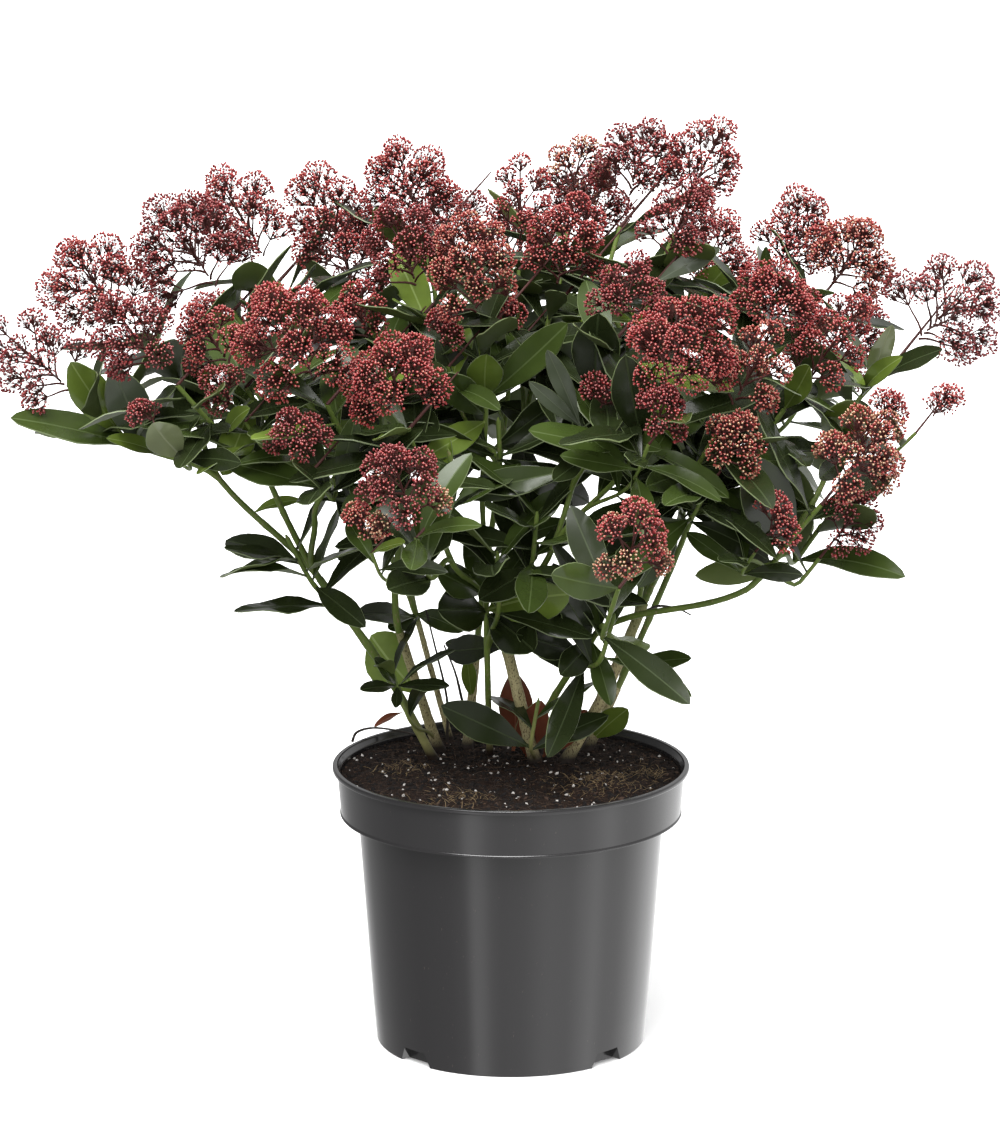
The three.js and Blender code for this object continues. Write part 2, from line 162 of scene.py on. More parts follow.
def smooth(piece, degrees=40):
    """Soft shading with crisp edges where faces meet more steeply than this."""
    piece.data.polygons.foreach_set("use_smooth", [True] * len(piece.data.polygons))
    piece.data.set_sharp_from_angle(angle=math.radians(degrees))


def inner_r(z):
    """The radius inside the body's wall at a height."""
    return BASE_R + (BODY_TOP_R - BASE_R) * z / LEDGE_Z - WALL


def collar_r(z):
    """The radius inside the collar's wall at a height."""
    return COLLAR_BOTTOM_R + (COLLAR_TOP_R - COLLAR_BOTTOM_R) * (z - LEDGE_Z) / COLLAR_H - WALL


def wall_rings(r0, z0, r1, z1, count):
    """Evenly spaced rings of a wall between two radii and heights."""
    return [(r0 + (r1 - r0) * i / count, z0 + (z1 - z0) * i / count) for i in range(count + 1)]


pot = turned("pot_shell", rounded([
    (0, 0), (BASE_R, 0), *wall_rings(BASE_R + 0.2, 3, BASE_R + 1.1, 14, 5),
    *wall_rings(BASE_R + 2, 24, BODY_TOP_R - 0.3, LEDGE_Z - 4, 6), (BODY_TOP_R, LEDGE_Z),
    (COLLAR_BOTTOM_R + 0.7, LEDGE_Z), (COLLAR_BOTTOM_R + 0.7, LEDGE_Z + 1.3),
    (COLLAR_BOTTOM_R + 0.1, LEDGE_Z + 1.9), (COLLAR_TOP_R - 0.2, POT_H - LIP - 1),
    (COLLAR_TOP_R, POT_H - LIP), (RIM_R - 0.4, POT_H - LIP), (RIM_R, POT_H - LIP / 2),
    (RIM_R - 0.4, POT_H), (0, POT_H)], 0.8))
room = turned("room", rounded([
    (0, FLOOR), (inner_r(FLOOR), FLOOR), (inner_r(LEDGE_Z + WALL), LEDGE_Z + WALL),
    (collar_r(LEDGE_Z + WALL), LEDGE_Z + WALL), (collar_r(POT_H - 4), POT_H - 4),
    (RIM_R - 3.2, POT_H - 0.8), (RIM_R - 2.8, POT_H + 5), (0, POT_H + 5)], 0.8))
point_out(pot)
cut_away(room, cut_outs("behind_cut_outs", WALL))
cut_away(pot, cut_outs("cut_outs", 0), room)
smooth(pot, 32)


def material(name, color, roughness, **sockets):
    """A Principled material, and its Principled node."""
    made = bpy.data.materials.new(name)
    made.use_nodes = True
    shader = made.node_tree.nodes["Principled BSDF"]
    shader.inputs["Base Color"].default_value = (*color, 1)
    shader.inputs["Roughness"].default_value = roughness
    for label, value in sockets.items():
        shader.inputs[label.replace("_", " ")].default_value = value
    return made, shader


def wire(tree, kind, inputs=None, **settings):
    """Adds a node; each input is a value or the output that feeds it."""
    made = tree.nodes.new(kind)
    for label, value in settings.items():
        setattr(made, label, value)
    for label, value in (inputs or {}).items():
        if isinstance(value, bpy.types.NodeSocket):
            tree.links.new(value, made.inputs[label])
        else:
            made.inputs[label].default_value = value
    return made


def speckle_group():
    """Masks that several finishes share: soft blotches and small specks in object space."""
    tree = bpy.data.node_groups.new("wear and specks", "ShaderNodeTree")
    for label, value in (("Blotch Size", 30.0), ("Speck Size", 400.0), ("Speck Amount", 0.2),
                         ("Stretch", 1.0)):
        socket = tree.interface.new_socket(label, in_out="INPUT", socket_type="NodeSocketFloat")
        socket.default_value = value
    for label in ("Blotches", "Specks"):
        tree.interface.new_socket(label, in_out="OUTPUT", socket_type="NodeSocketFloat")
    given = wire(tree, "NodeGroupInput").outputs
    place = wire(tree, "ShaderNodeTexCoord").outputs["Object"]
    stretch = wire(tree, "ShaderNodeCombineXYZ", {"X": 1.0, "Y": 1.0, "Z": given["Stretch"]})
    place = wire(tree, "ShaderNodeVectorMath", {0: place, 1: stretch.outputs[0]},
                 operation="MULTIPLY").outputs[0]
    blotch = wire(tree, "ShaderNodeTexNoise", {"Vector": place, "Scale": given["Blotch Size"],
                                               "Detail": 3.0})
    speck = wire(tree, "ShaderNodeTexNoise", {"Vector": place, "Scale": given["Speck Size"],
                                              "Detail": 1.0})
    least = wire(tree, "ShaderNodeMath", {0: 0.75, 1: given["Speck Amount"]}, operation="SUBTRACT")
    most = wire(tree, "ShaderNodeMath", {0: least.outputs[0], 1: 0.08}, operation="ADD")
    mask = wire(tree, "ShaderNodeMapRange", {"Value": speck.outputs["Fac"],
                                             "From Min": least.outputs[0],
                                             "From Max": most.outputs[0]})
    wire(tree, "NodeGroupOutput", {"Blotches": blotch.outputs["Fac"], "Specks": mask.outputs[0]})
    return tree


speckles = speckle_group()


def marks_on(tree, **sizes):
    """The shared blotches and specks in a material, with its own sizes for them."""
    group = wire(tree, "ShaderNodeGroup", {}, node_tree=speckles)
    for label, value in sizes.items():
        group.inputs[label.replace("_", " ")].default_value = value
    return group.outputs


def mixed(tree, fac, a, b):
    """One colour turning into another by a mask."""
    mix = tree.nodes.new("ShaderNodeMix")
    mix.data_type = "RGBA"
    tree.links.new(fac, mix.inputs["Factor"])
    for label, value in (("A", a), ("B", b)):
        socket = next(s for s in mix.inputs if s.name == label and s.type == "RGBA")
        if isinstance(value, bpy.types.NodeSocket):
            tree.links.new(value, socket)
        else:
            socket.default_value = (*value, 1)
    return next(s for s in mix.outputs if s.type == "RGBA")


def patterned(tree, shader, colour, height, strength, distance):
    """Gives a material its mixed colour, and a relief that follows one of its masks."""
    tree.links.new(colour, shader.inputs["Base Color"])
    bump = wire(tree, "ShaderNodeBump", {"Strength": strength, "Distance": distance,
                                         "Height": height})
    tree.links.new(bump.outputs[0], shader.inputs["Normal"])


POT_BLACK, POT_DUST = (0.018, 0.017, 0.018), (0.06, 0.05, 0.042)
pot_plastic, shader = material("black pot plastic", POT_BLACK, 0.16, Specular_IOR_Level=1.0)
tree = pot_plastic.node_tree
marks = marks_on(tree, Blotch_Size=14.0, Speck_Size=900.0, Speck_Amount=0.0, Stretch=0.35)
haze = wire(tree, "ShaderNodeMapRange", {"Value": marks["Blotches"], "From Min": 0.3,
                                         "From Max": 0.7, "To Min": 0.12, "To Max": 0.2})
tree.links.new(haze.outputs[0], shader.inputs["Roughness"])
patterned(tree, shader, mixed(tree, marks["Specks"], POT_BLACK, POT_DUST), marks["Blotches"],
          0.12, 0.002)
pot.data.materials.clear()
pot.data.materials.append(pot_plastic)
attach(pot, "root")
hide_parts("pot")

# ---- compost ---------------------------------------------------------------------------
# Moist peat-based potting compost, heaped a little unevenly and a finger's width below the
# rim. On it lie crumbs of peat and bark, white grains of perlite, and tan fibres that are
# matted into two or three clumps.
SOIL_Z = 177
SOIL_ROUGH = 2.2
BED_SIDES, BED_RINGS = 128, 44
CLUMPS = [  # each one's place, and its width and height
    (-32, -62, 15, 5), (54, -34, 20, 10), (92, -8, 16, 4), (-70, 8, 12, 3), (12, -88, 10, 2.5)]


def soil_height(x, y):
    """Height of the compost's surface over its level, from slow waves and the clumps."""
    wave = (math.sin(x * 0.061 + 1.3) * math.sin(y * 0.052 - 0.4)
            + 0.5 * math.sin(x * 0.19 + y * 0.13) + 0.35 * math.sin(x * 0.41 - y * 0.37 + 2))
    clump = sum(h * math.exp(-((x - cx) ** 2 + (y - cy) ** 2) / r ** 2) for cx, cy, r, h in CLUMPS)
    return SOIL_ROUGH * 0.5 * wave - 0.8 + 0.6 * clump


def compost_bed():
    """The compost as one closed body, with its lumpy top in fine rings."""
    sides, rings = BED_SIDES, BED_RINGS
    edge = collar_r(SOIL_Z) - 0.3
    points, faces = [(0, 0, SOIL_Z + soil_height(0, 0))], []
    for k in range(1, rings + 1):
        r = edge * k / rings
        for i in range(sides):
            a = 2 * math.pi * i / sides
            x, y = r * math.cos(a), r * math.sin(a)
            fade = min(1, (edge - r) / 4)
            points.append((x, y, SOIL_Z - 0.6 + fade * (0.6 + soil_height(x, y))))
    step, low = LEDGE_Z + WALL + 0.4, FLOOR + 12
    for r, z in ((collar_r(step) - 0.4, step), (inner_r(step) - 0.4, step),
                 (inner_r(low) - 10, low)):
        for i in range(sides):
            a = 2 * math.pi * i / sides
            points.append((r * math.cos(a), r * math.sin(a), z))
    points.append((0, 0, low))
    faces += [[0, 1 + i, 1 + (i + 1) % sides] for i in range(sides)]
    for k in range(rings + 2):
        a, b = 1 + k * sides, 1 + (k + 1) * sides
        faces += [[a + i, b + i, b + (i + 1) % sides, a + (i + 1) % sides] for i in range(sides)]
    a = 1 + (rings + 2) * sides
    faces += [[a + (i + 1) % sides, a + i, len(points) - 1] for i in range(sides)]
    return mesh_piece("compost_bed", points, faces)


bed = compost_bed()
point_out(bed)
rough = bed.modifiers.new("grain", "DISPLACE")
grain = bpy.data.textures.new("compost grain", "CLOUDS")
grain.noise_scale, grain.noise_depth = 0.006, 4
rough.texture, rough.strength, rough.mid_level = grain, 0.004, 0.6
rough.texture_coords = "LOCAL"
top = bed.vertex_groups.new(name="top")
loose = [v.index for v in bed.data.vertices
         if v.co.z > (SOIL_Z - 10) * MM and v.co.xy.length < (collar_r(SOIL_Z) - 2) * MM]
top.add(loose, 1, "REPLACE")
rough.vertex_group = "top"
bed_mesh = as_modified(bed)
bed.modifiers.clear()
bed.data = bed_mesh
smooth(bed, 60)

peat, shader = material("moist peat", (0.012, 0.007, 0.005), 0.9, Specular_IOR_Level=0.2)
tree = peat.node_tree
marks = marks_on(tree, Blotch_Size=260.0, Speck_Size=700.0, Speck_Amount=0.12)
browns = mixed(tree, marks["Blotches"], (0.005, 0.003, 0.0025), (0.03, 0.017, 0.012))
browns = mixed(tree, marks["Specks"], browns, (0.1, 0.06, 0.038))
patterned(tree, shader, browns, marks["Blotches"], 0.8, 0.003)
bed.data.materials.clear()
bed.data.materials.append(peat)
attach(bed, "root")
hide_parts("compost")
matted = [sum(math.exp(-((v.co.x / MM - x) ** 2 + (v.co.y / MM - y) ** 2) / r ** 2)
              for x, y, r, _ in CLUMPS[:4]) for v in bed.data.vertices]
bed.data.attributes.new("matted", "FLOAT", "POINT").data.foreach_set("value", matted)


def node_tree(name, inputs):
    """A Geometry Nodes tree with its named inputs; returns it and what its inputs give."""
    tree = bpy.data.node_groups.new(name, "GeometryNodeTree")
    tree.interface.new_socket("Geometry", in_out="INPUT", socket_type="NodeSocketGeometry")
    for label, kind, value in inputs:
        socket = tree.interface.new_socket(label, in_out="INPUT", socket_type=kind)
        if value is not None:
            socket.default_value = value
    tree.interface.new_socket("Geometry", in_out="OUTPUT", socket_type="NodeSocketGeometry")
    return tree, wire(tree, "NodeGroupInput").outputs


def told(tree, name, kind):
    """What a named attribute says at each point or face."""
    return wire(tree, "GeometryNodeInputNamedAttribute", {"Name": name}, data_type=kind).outputs[0]


def painted_end(tree, shapes, finish):
    """Ends a tree: copies turned into real faces, and painted with one material."""
    real = wire(tree, "GeometryNodeRealizeInstances", {"Geometry": shapes})
    painted = wire(tree, "GeometryNodeSetMaterial", {"Geometry": real.outputs[0],
                                                     "Material": finish})
    wire(tree, "NodeGroupOutput", {"Geometry": painted.outputs[0]})
    return tree


def grown(piece, tree, name, values):
    """Runs a tree on a piece with these input values and keeps the result as a plain mesh."""
    step = piece.modifiers.new("grow", "NODES")
    step.node_group = tree
    for item in tree.interface.items_tree:
        if item.item_type == "SOCKET" and item.in_out == "INPUT" and item.name in values:
            step[item.identifier] = values[item.name]
    graph = bpy.context.evaluated_depsgraph_get()
    mesh = bpy.data.meshes.new_from_object(piece.evaluated_get(graph), depsgraph=graph)
    piece.modifiers.remove(step)
    mesh.name = name
    while len(mesh.materials) > 1 and mesh.materials[0] in (None, *piece.data.materials):
        mesh.materials.pop(index=0)
    return in_scene(name, mesh)


def strewn_tree():
    """Strews copies of one shape over the upward faces of a surface."""
    tree, given = node_tree("strewn over the top", [
        ("Density", "NodeSocketFloat", 1.0), ("Seed", "NodeSocketInt", 1),
        ("Smallest", "NodeSocketFloat", 0.5), ("Largest", "NodeSocketFloat", 1.5),
        ("Tip Over", "NodeSocketFloat", 3.14), ("In Clumps", "NodeSocketFloat", 0.0),
        ("Reach", "NodeSocketFloat", 0.108), ("Shape", "NodeSocketObject", None),
        ("Material", "NodeSocketMaterial", None)])
    normal = wire(tree, "GeometryNodeInputNormal").outputs[0]
    up = wire(tree, "ShaderNodeSeparateXYZ", {"Vector": normal}).outputs["Z"]
    upward = wire(tree, "FunctionNodeCompare", {0: up, 1: 0.4}, operation="GREATER_THAN")
    place = wire(tree, "GeometryNodeInputPosition").outputs[0]
    height = wire(tree, "ShaderNodeSeparateXYZ", {"Vector": place}).outputs["Z"]
    high = wire(tree, "FunctionNodeCompare", {0: height, 1: (SOIL_Z - 8) * MM},
                operation="GREATER_THAN")
    on_top = wire(tree, "FunctionNodeBooleanMath", {0: upward.outputs[0], 1: high.outputs[0]})
    flat = wire(tree, "ShaderNodeVectorMath", {0: place, 1: (1, 1, 0)}, operation="MULTIPLY")
    away = wire(tree, "ShaderNodeVectorMath", {0: flat.outputs[0]}, operation="LENGTH")
    clear = wire(tree, "FunctionNodeCompare", {0: away.outputs["Value"], 1: given["Reach"]},
                 operation="LESS_THAN")
    chosen = wire(tree, "FunctionNodeBooleanMath", {0: on_top.outputs[0], 1: clear.outputs[0]})
    share = wire(tree, "ShaderNodeMapRange", {"Value": given["In Clumps"], "To Min": 1.0,
                                              "To Max": told(tree, "matted", "FLOAT")})
    dense = wire(tree, "ShaderNodeMath", {0: given["Density"], 1: share.outputs[0]},
                 operation="MULTIPLY")
    points = wire(tree, "GeometryNodeDistributePointsOnFaces", {
        "Mesh": given["Geometry"], "Selection": chosen.outputs[0], "Density": dense.outputs[0],
        "Seed": given["Seed"]})
    tilt = wire(tree, "ShaderNodeCombineXYZ", {"X": given["Tip Over"], "Y": given["Tip Over"],
                                               "Z": 6.28})
    turn = wire(tree, "FunctionNodeRandomValue", {"Max": tilt.outputs[0], "Seed": given["Seed"]},
                data_type="FLOAT_VECTOR")
    size = tree.nodes.new("FunctionNodeRandomValue")
    for label, limit in (("Min", "Smallest"), ("Max", "Largest")):
        socket = next(s for s in size.inputs if s.name == label and s.type == "VALUE")
        tree.links.new(given[limit], socket)
    tree.links.new(given["Seed"], size.inputs["Seed"])
    size_out = next(s for s in size.outputs if s.type == "VALUE")
    shape = wire(tree, "GeometryNodeObjectInfo", {"Object": given["Shape"]})
    copies = wire(tree, "GeometryNodeInstanceOnPoints", {
        "Points": points.outputs["Points"], "Instance": shape.outputs["Geometry"],
        "Rotation": turn.outputs[0], "Scale": size_out})
    return painted_end(tree, copies.outputs[0], given["Material"])


def crumb(name, seed, flat=1.0, long=1.0):
    """A small irregular lump about two millimetres across."""
    rng = np.random.default_rng(seed)
    work = bmesh.new()
    bmesh.ops.create_icosphere(work, subdivisions=1, radius=MM)
    for v in work.verts:
        v.co = Vector((v.co.x * long, v.co.y, v.co.z * flat)) * float(rng.uniform(0.7, 1.25))
    mesh = bpy.data.meshes.new(name)
    work.to_mesh(mesh)
    work.free()
    return bpy.data.objects.new(name, mesh)


def fibre(name, seed, long, thick):
    """A thin bent shred of root or coir."""
    rng = np.random.default_rng(seed)
    steps, points, faces = 5, [], []
    way = np.cumsum(np.vstack([[0, 0, 0], np.column_stack([
        np.full(steps, long / steps), rng.normal(0, long * 0.07, steps),
        rng.normal(0, long * 0.035, steps)])]), axis=0) - [long / 2, 0, 0]
    for i, p in enumerate(way):
        for j in range(3):
            a = 2 * math.pi * j / 3
            w = thick * (0.4 if i in (0, steps) else 1)
            points.append(p + np.array([0, w * math.cos(a), w * math.sin(a)]))
    for i in range(steps):
        for j in range(3):
            k = (j + 1) % 3
            faces.append([i * 3 + j, i * 3 + k, i * 3 + 3 + k, i * 3 + 3 + j])
    faces += [[0, 2, 1], [steps * 3, steps * 3 + 1, steps * 3 + 2]]
    piece = mesh_piece(name, points, faces)
    point_out(piece)
    bpy.context.scene.collection.objects.unlink(piece)
    return piece


strewn = strewn_tree()
STREWN = [  # piece, shape, colour, roughness, count on a square metre, smallest and largest
    # size, how far they tip over, and whether they keep to the clumps
    ("compost_crumbs_dark", crumb("dark crumb", 3), (0.007, 0.0045, 0.004), 0.95, 52000, 0.5, 1.7,
     3.1, 0),
    ("compost_crumbs_brown", crumb("brown crumb", 5, 0.7, 1.3), (0.022, 0.012, 0.008), 0.95, 26000,
     0.4, 1.4, 3.1, 0),
    ("compost_bark_chips", crumb("bark chip", 8, 0.35, 1.9), (0.06, 0.032, 0.02), 0.85, 2200,
     0.8, 1.8, 0.9, 0),
    ("compost_perlite", crumb("perlite grain", 11, 0.9, 1.1), (0.6, 0.57, 0.54), 0.8, 5200,
     0.25, 1.45, 3.1, 0),
    ("compost_fibres", fibre("dark fibre", 13, 17, 0.16), (0.07, 0.042, 0.026), 0.85, 6500,
     0.4, 1.3, 0.35, 0),
    ("compost_matted_fibres", fibre("tan fibre", 17, 11, 0.15), (0.25, 0.175, 0.09), 0.85, 190000,
     0.4, 1.2, 0.7, 1),
]
FIBRE_REACH, CRUMB_REACH = 0.098, 0.107  # so that long ones don't cross the pot's wall
for seed, (name, bit, color, roughness, density, least, most, tip, clumps) in enumerate(STREWN):
    finish, shader = material(name.replace("_", " "), color, roughness)
    marks = marks_on(finish.node_tree, Blotch_Size=180.0)
    tone = mixed(finish.node_tree, marks["Blotches"], [c * 0.5 for c in color],
                 [min(1, c * 1.5) for c in color])
    finish.node_tree.links.new(tone, shader.inputs["Base Color"])
    layer = grown(bed, strewn, name, {
        "Density": float(density), "Seed": seed + 1, "Smallest": least, "Largest": most,
        "Tip Over": tip, "In Clumps": float(clumps), "Shape": bit, "Material": finish,
        "Reach": FIBRE_REACH if "fibres" in name else CRUMB_REACH})
    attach(layer, "root")

# ---- stems and boughs ------------------------------------------------------------------
# Woody stems rise in a clump from the compost and fork into green boughs, each of which
# grows on from the tip that carries it. Old wood has thin pale tan bark, finely ridged and
# dotted; young wood is smooth and green, with a ring of scars where old leaves fell.
JOINT, FLARE = 4, 0.22
LEAN, LEAN_PER_MM, STALK, WHORL_LONG = 8, 0.13, 18, 24
BARK_STEMS = {  # [foot], [top], radius at the foot and the top, outward bow
    "stem_left_pale": ([-141, 76], [-109, 76, 264], 4.4, 2.8, 0),
    "stem_left_thin": ([-154, 91], [-139, 93, 261], 2.4, 1.9, 0),
    "stem_centre_back": ([-156, 70], [-165, 83, 248], 4.0, 2.7, 0),
    "stem_centre": ([150, 31], [-141, 6, 263], 4.4, 3.7, 0),
    "stem_right": ([129, 47], [106, 89, 283], 5.0, 3.3, 3),
    "stem_right_back": ([140, 80], [136, 101, 214], 3.7, 2.7, 0),
}
GREEN_STEMS = {
    "stem_left_green": ([-126, 63], [-85, 122, 307], 3.3, 2.6, -5),
    "stem_tall_green": ([-164, 50], [-80, 16, 287], 2.3, 2.0, 3),
    "stem_front_green": ([169, 51], [69, 56, 271], 2.6, 2.2, -4),
}
BOUGHS = {  # parent, radius at the root and the tip, and the tip's place or share of the way
    "bough_left_low": ("stem_left_green", 2.3, 1.9, 0.6),
    "bough_left_mid": ("stem_left_green", 2.2, 1.9, 0.55),
    "bough_left_inner": ("stem_left_green", 2.1, 1.9, 0.5),
    "bough_left_up": ("stem_left_pale", 2.4, 1.9, 0.6),
    "bough_left_rear": ("stem_left_thin", 1.9, 1.8, 0.65),
    "bough_rear_left": ("stem_left_thin", 1.9, 1.8, 0.6),
    "bough_rear": ("stem_centre_back", 2.2, 1.9, 0.6),
    "bough_tall": ("stem_tall_green", 1.9, 1.7, 0.5),
    "bough_front_left": ("stem_tall_green", 1.9, 1.7, 0.5),
    "bough_centre": ("stem_centre", 2.6, 2.0, 0.65),
    "bough_front_right": ("stem_centre", 2.4, 1.9, 0.45),
    "bough_right_long": ("stem_front_green", 2.1, 2.0, [61, 164, 315]),
    "bough_right_outer": ("bough_right_long", 1.9, 1.8, 0.5),
    "bough_right_inner": ("stem_right", 2.4, 1.9, 0.4),
    "bough_right_up": ("stem_right", 2.5, 1.9, 0.65),
    "bough_right_rear": ("stem_right_back", 2.2, 1.9, 0.65),
    "bough_rear_right": ("stem_right_back", 2.1, 1.9, 0.6),
}
FLOWERING = {  # parent, then for each shoot the middle of its head and its width and height
    "mass_far_left": ("bough_left_low", [-86, 301, 453, 56, 68], [-66, 245, 431, 24, 24]),
    "mass_left_outer": ("bough_left_low", [-99, 270, 488, 63, 63]),
    "mass_left_front": ("bough_left_mid", [-71, 246, 477, 51, 51], [-72, 196, 473, 43, 46]),
    "mass_left_inner": ("bough_left_inner", [-51, 173, 482, 66, 72], [-63, 198, 444, 27, 27],
                        [-45, 185, 426, 36, 27]),
    "mass_left_high": ("bough_left_rear", [-101, 210, 513, 69, 66], [-117, 196, 525, 54, 64]),
    "mass_left_up": ("bough_left_up", [-73, 70, 523, 52, 56], [-67, 103, 484, 37, 37]),
    "mass_rear_left_top": ("bough_rear_left", [-124, 141, 523, 57, 70], [-132, 90, 552, 54, 54]),
    "mass_rear_left": ("bough_rear_left", [-148, 212, 486, 56, 60], [-128, 246, 440, 50, 50]),
    "mass_tall": ("bough_tall", [-23, 65, 517, 52, 67], [-36, 74, 476, 27, 27], [-8, 58, 418]),
    "mass_front_left_high": ("bough_front_left", [-31, 140, 459, 60, 45], [-20, 112, 408]),
    "mass_front_left": ("bough_front_left", [-19, 201, 406, 50, 55], [-28, 192, 376, 21, 23]),
    "mass_centre_top": ("bough_centre", [174, 60, 539, 38, 57], [90, 35, 523, 50, 59],
                        [-3, 20, 477, 25, 25]),
    "mass_centre_rear": ("bough_centre", [159, 118, 551, 42, 45]),
    "mass_front_right_high": ("bough_front_right", [42, 108, 505, 42, 39], [27, 123, 444, 27, 21],
                              [30, 84, 416]),
    "mass_front_right": ("bough_front_right", [38, 166, 480, 65, 65], [31, 175, 444, 30, 30]),
    "mass_front_low": ("stem_front_green", [19, 223, 377, 46, 52]),
    "mass_right_inner": ("bough_right_inner", [53, 184, 461, 45, 66], [46, 188, 421, 36, 36],
                         [54, 142, 396]),
    "mass_right_side": ("bough_right_inner", [77, 173, 492, 55, 37], [73, 207, 467, 43, 67]),
    "mass_right_top": ("bough_right_up", [134, 115, 562, 51, 54], [90, 107, 536, 47, 50]),
    "mass_right_top_rear": ("bough_right_up", [116, 137, 562, 48, 60]),
    "mass_right_high": ("bough_right_rear", [108, 194, 517, 51, 51], [95, 216, 510, 56, 44]),
    "mass_far_right": ("bough_right_outer", [88, 277, 483, 74, 62], [77, 276, 430, 28, 28],
                       [71, 246, 430, 24, 24]),
    "mass_right_low": ("bough_right_long", [61, 246, 410, 51, 54], [67, 228, 363, 36, 36],
                       [51, 206, 370, 27, 27], [76, 200, 350]),
    "mass_rear": ("bough_rear", [180, 215, 480, 58, 62], [-166, 168, 504, 52, 58]),
    "mass_rear_low": ("bough_rear", [-172, 258, 418, 50, 52], [162, 248, 424, 50, 50]),
    "mass_rear_right_top": ("bough_rear_right", [142, 216, 486, 58, 60], [162, 166, 522, 52, 55]),
    "mass_rear_right": ("bough_rear_right", [122, 262, 436, 54, 54]),
}
UP = np.array([0.0, 0.0, 1.0])


def place(spot):
    """The point that [bearing, reach, height] names: degrees from the front towards the
    right, mm from the pot's axis, and mm above its underside or else at the compost."""
    bearing, reach, height = (*spot, SOIL_Z)[:3]
    a = math.radians(bearing)
    return np.array([reach * math.sin(a), -reach * math.cos(a), height])


def unit(v):
    """A direction with a length of one."""
    return v / np.linalg.norm(v)


def sideways(d, degrees):
    """The direction square to d at this angle round it."""
    a = unit(np.cross(d, UP if abs(d[2]) < 0.9 else np.array([1.0, 0, 0])))
    b, t = unit(np.cross(d, a)), math.radians(degrees)
    return a * math.cos(t) + b * math.sin(t)


def bezier(a, b, c, d, t):
    """Points on the curve from a to d that b and c pull."""
    t = np.atleast_1d(np.asarray(t, float))[:, None]
    return (1 - t) ** 3 * a + 3 * t * (1 - t) ** 2 * b + 3 * t * t * (1 - t) * c + t ** 3 * d


def bend(start, start_dir, end, end_dir):
    """A curve that leaves one point and reaches another in given directions."""
    reach = np.linalg.norm(end - start) * 0.35
    return lambda t: bezier(start, start + start_dir * reach, end - end_dir * reach, end, t)


def through(points):
    """A smooth curve through points whose spacing differs, run from 0 to 1."""
    points = np.asarray(points, float)
    first, last = 2 * points[0] - points[1], 2 * points[-1] - points[-2]
    held = np.vstack([first, points, last])

    def at(t):
        p = min(t, 1) * (len(points) - 1)
        i = min(int(p), len(points) - 2)
        w = p - i
        p0, p1, p2, p3 = held[i:i + 4]
        d0, d1, d2 = (math.sqrt(np.linalg.norm(b - a)) for a, b in ((p0, p1), (p1, p2), (p2, p3)))
        t1 = ((p1 - p0) / d0 - (p2 - p0) / (d0 + d1) + (p2 - p1) / d1) * d1
        t2 = ((p2 - p1) / d1 - (p3 - p1) / (d1 + d2) + (p3 - p2) / d2) * d1
        return (p1 + t1 * w + (3 * (p2 - p1) - 2 * t1 - t2) * w ** 2
                + (2 * (p1 - p2) + t1 + t2) * w ** 3)
    return lambda ts: np.array([at(t) for t in np.atleast_1d(ts)])


limbs = {}  # each stem and bough: its curve, its tip and direction there, and its children


def stem(name, foot, top, foot_r, top_r, bow):
    """A stem's line and radii, from under the compost to where it forks."""
    start, end = place(foot), place(top)
    out = unit(np.array([end[0] - start[0], end[1] - start[1], 0]))
    middle = start + (end - start) * 0.45 + out * bow
    rise = unit(middle - start)
    curve = through([start - rise * 6, start, start + rise * 7, middle, end])
    direction = unit(curve(1)[0] - curve(0.9999)[0])
    limbs[name] = dict(curve=curve, tip=end, dir=direction, children=0)
    t = np.linspace(0, 1, 50)
    return curve(t), (foot_r + (top_r - foot_r) * t) * (1 + FLARE * np.maximum(0, 1 - 2 * t))


def grow_from(parent, end, end_dir):
    """A limb that grows on from a tip: the first one straight on, the others out of its side."""
    before = parent["children"]
    parent["children"] += 1
    start = parent["tip"] + parent["dir"] * JOINT * max(1, before)
    way = unit(parent["dir"] + unit(end - start) * (0.5 + 0.4 * before))
    curve = bend(start, way, end, end_dir)
    lead = [parent["tip"] - parent["dir"] * 3, parent["tip"]] if not before else [start - way * 2]
    return curve, lead


def shoot_end(row):
    """A shoot's direction at its end, the foot of its head, and the stretch its leaves take."""
    bearing, reach = row[:2]
    wide, high = row[3:5] if len(row) > 3 else (0, 0)
    lean = math.radians(LEAN + LEAN_PER_MM * reach)
    d = UP * math.cos(lean) + place([bearing, 1, 0]) * math.sin(lean)
    size = min(1, max(0.6, wide / 42)) if wide else 1
    base = place(row[:3]) - d * high / 2
    top = base - d * (STALK * size if wide else 0)
    low = top - d * WHORL_LONG * size
    return dict(d=d, wide=wide, high=high, size=size, base=base, top=top, low=low)


masses = [dict(name=n, parent=p, shoots=[shoot_end(r) for r in rows])
          for n, (p, *rows) in FLOWERING.items()]


def node_rings(path, thick, gap, swell, first=12):
    """Swells a limb a little at each ring of leaf scars."""
    along = np.concatenate([[0], np.cumsum(np.linalg.norm(np.diff(path, axis=0), axis=1))])
    out = thick.copy()
    for at in np.arange(first, along[-1], gap):
        out *= 1 + swell * np.exp(-((along - at) / 1.7) ** 2)
    return out


RIDGES_PER_M = 90.0  # how fast the bark's pattern changes along a limb


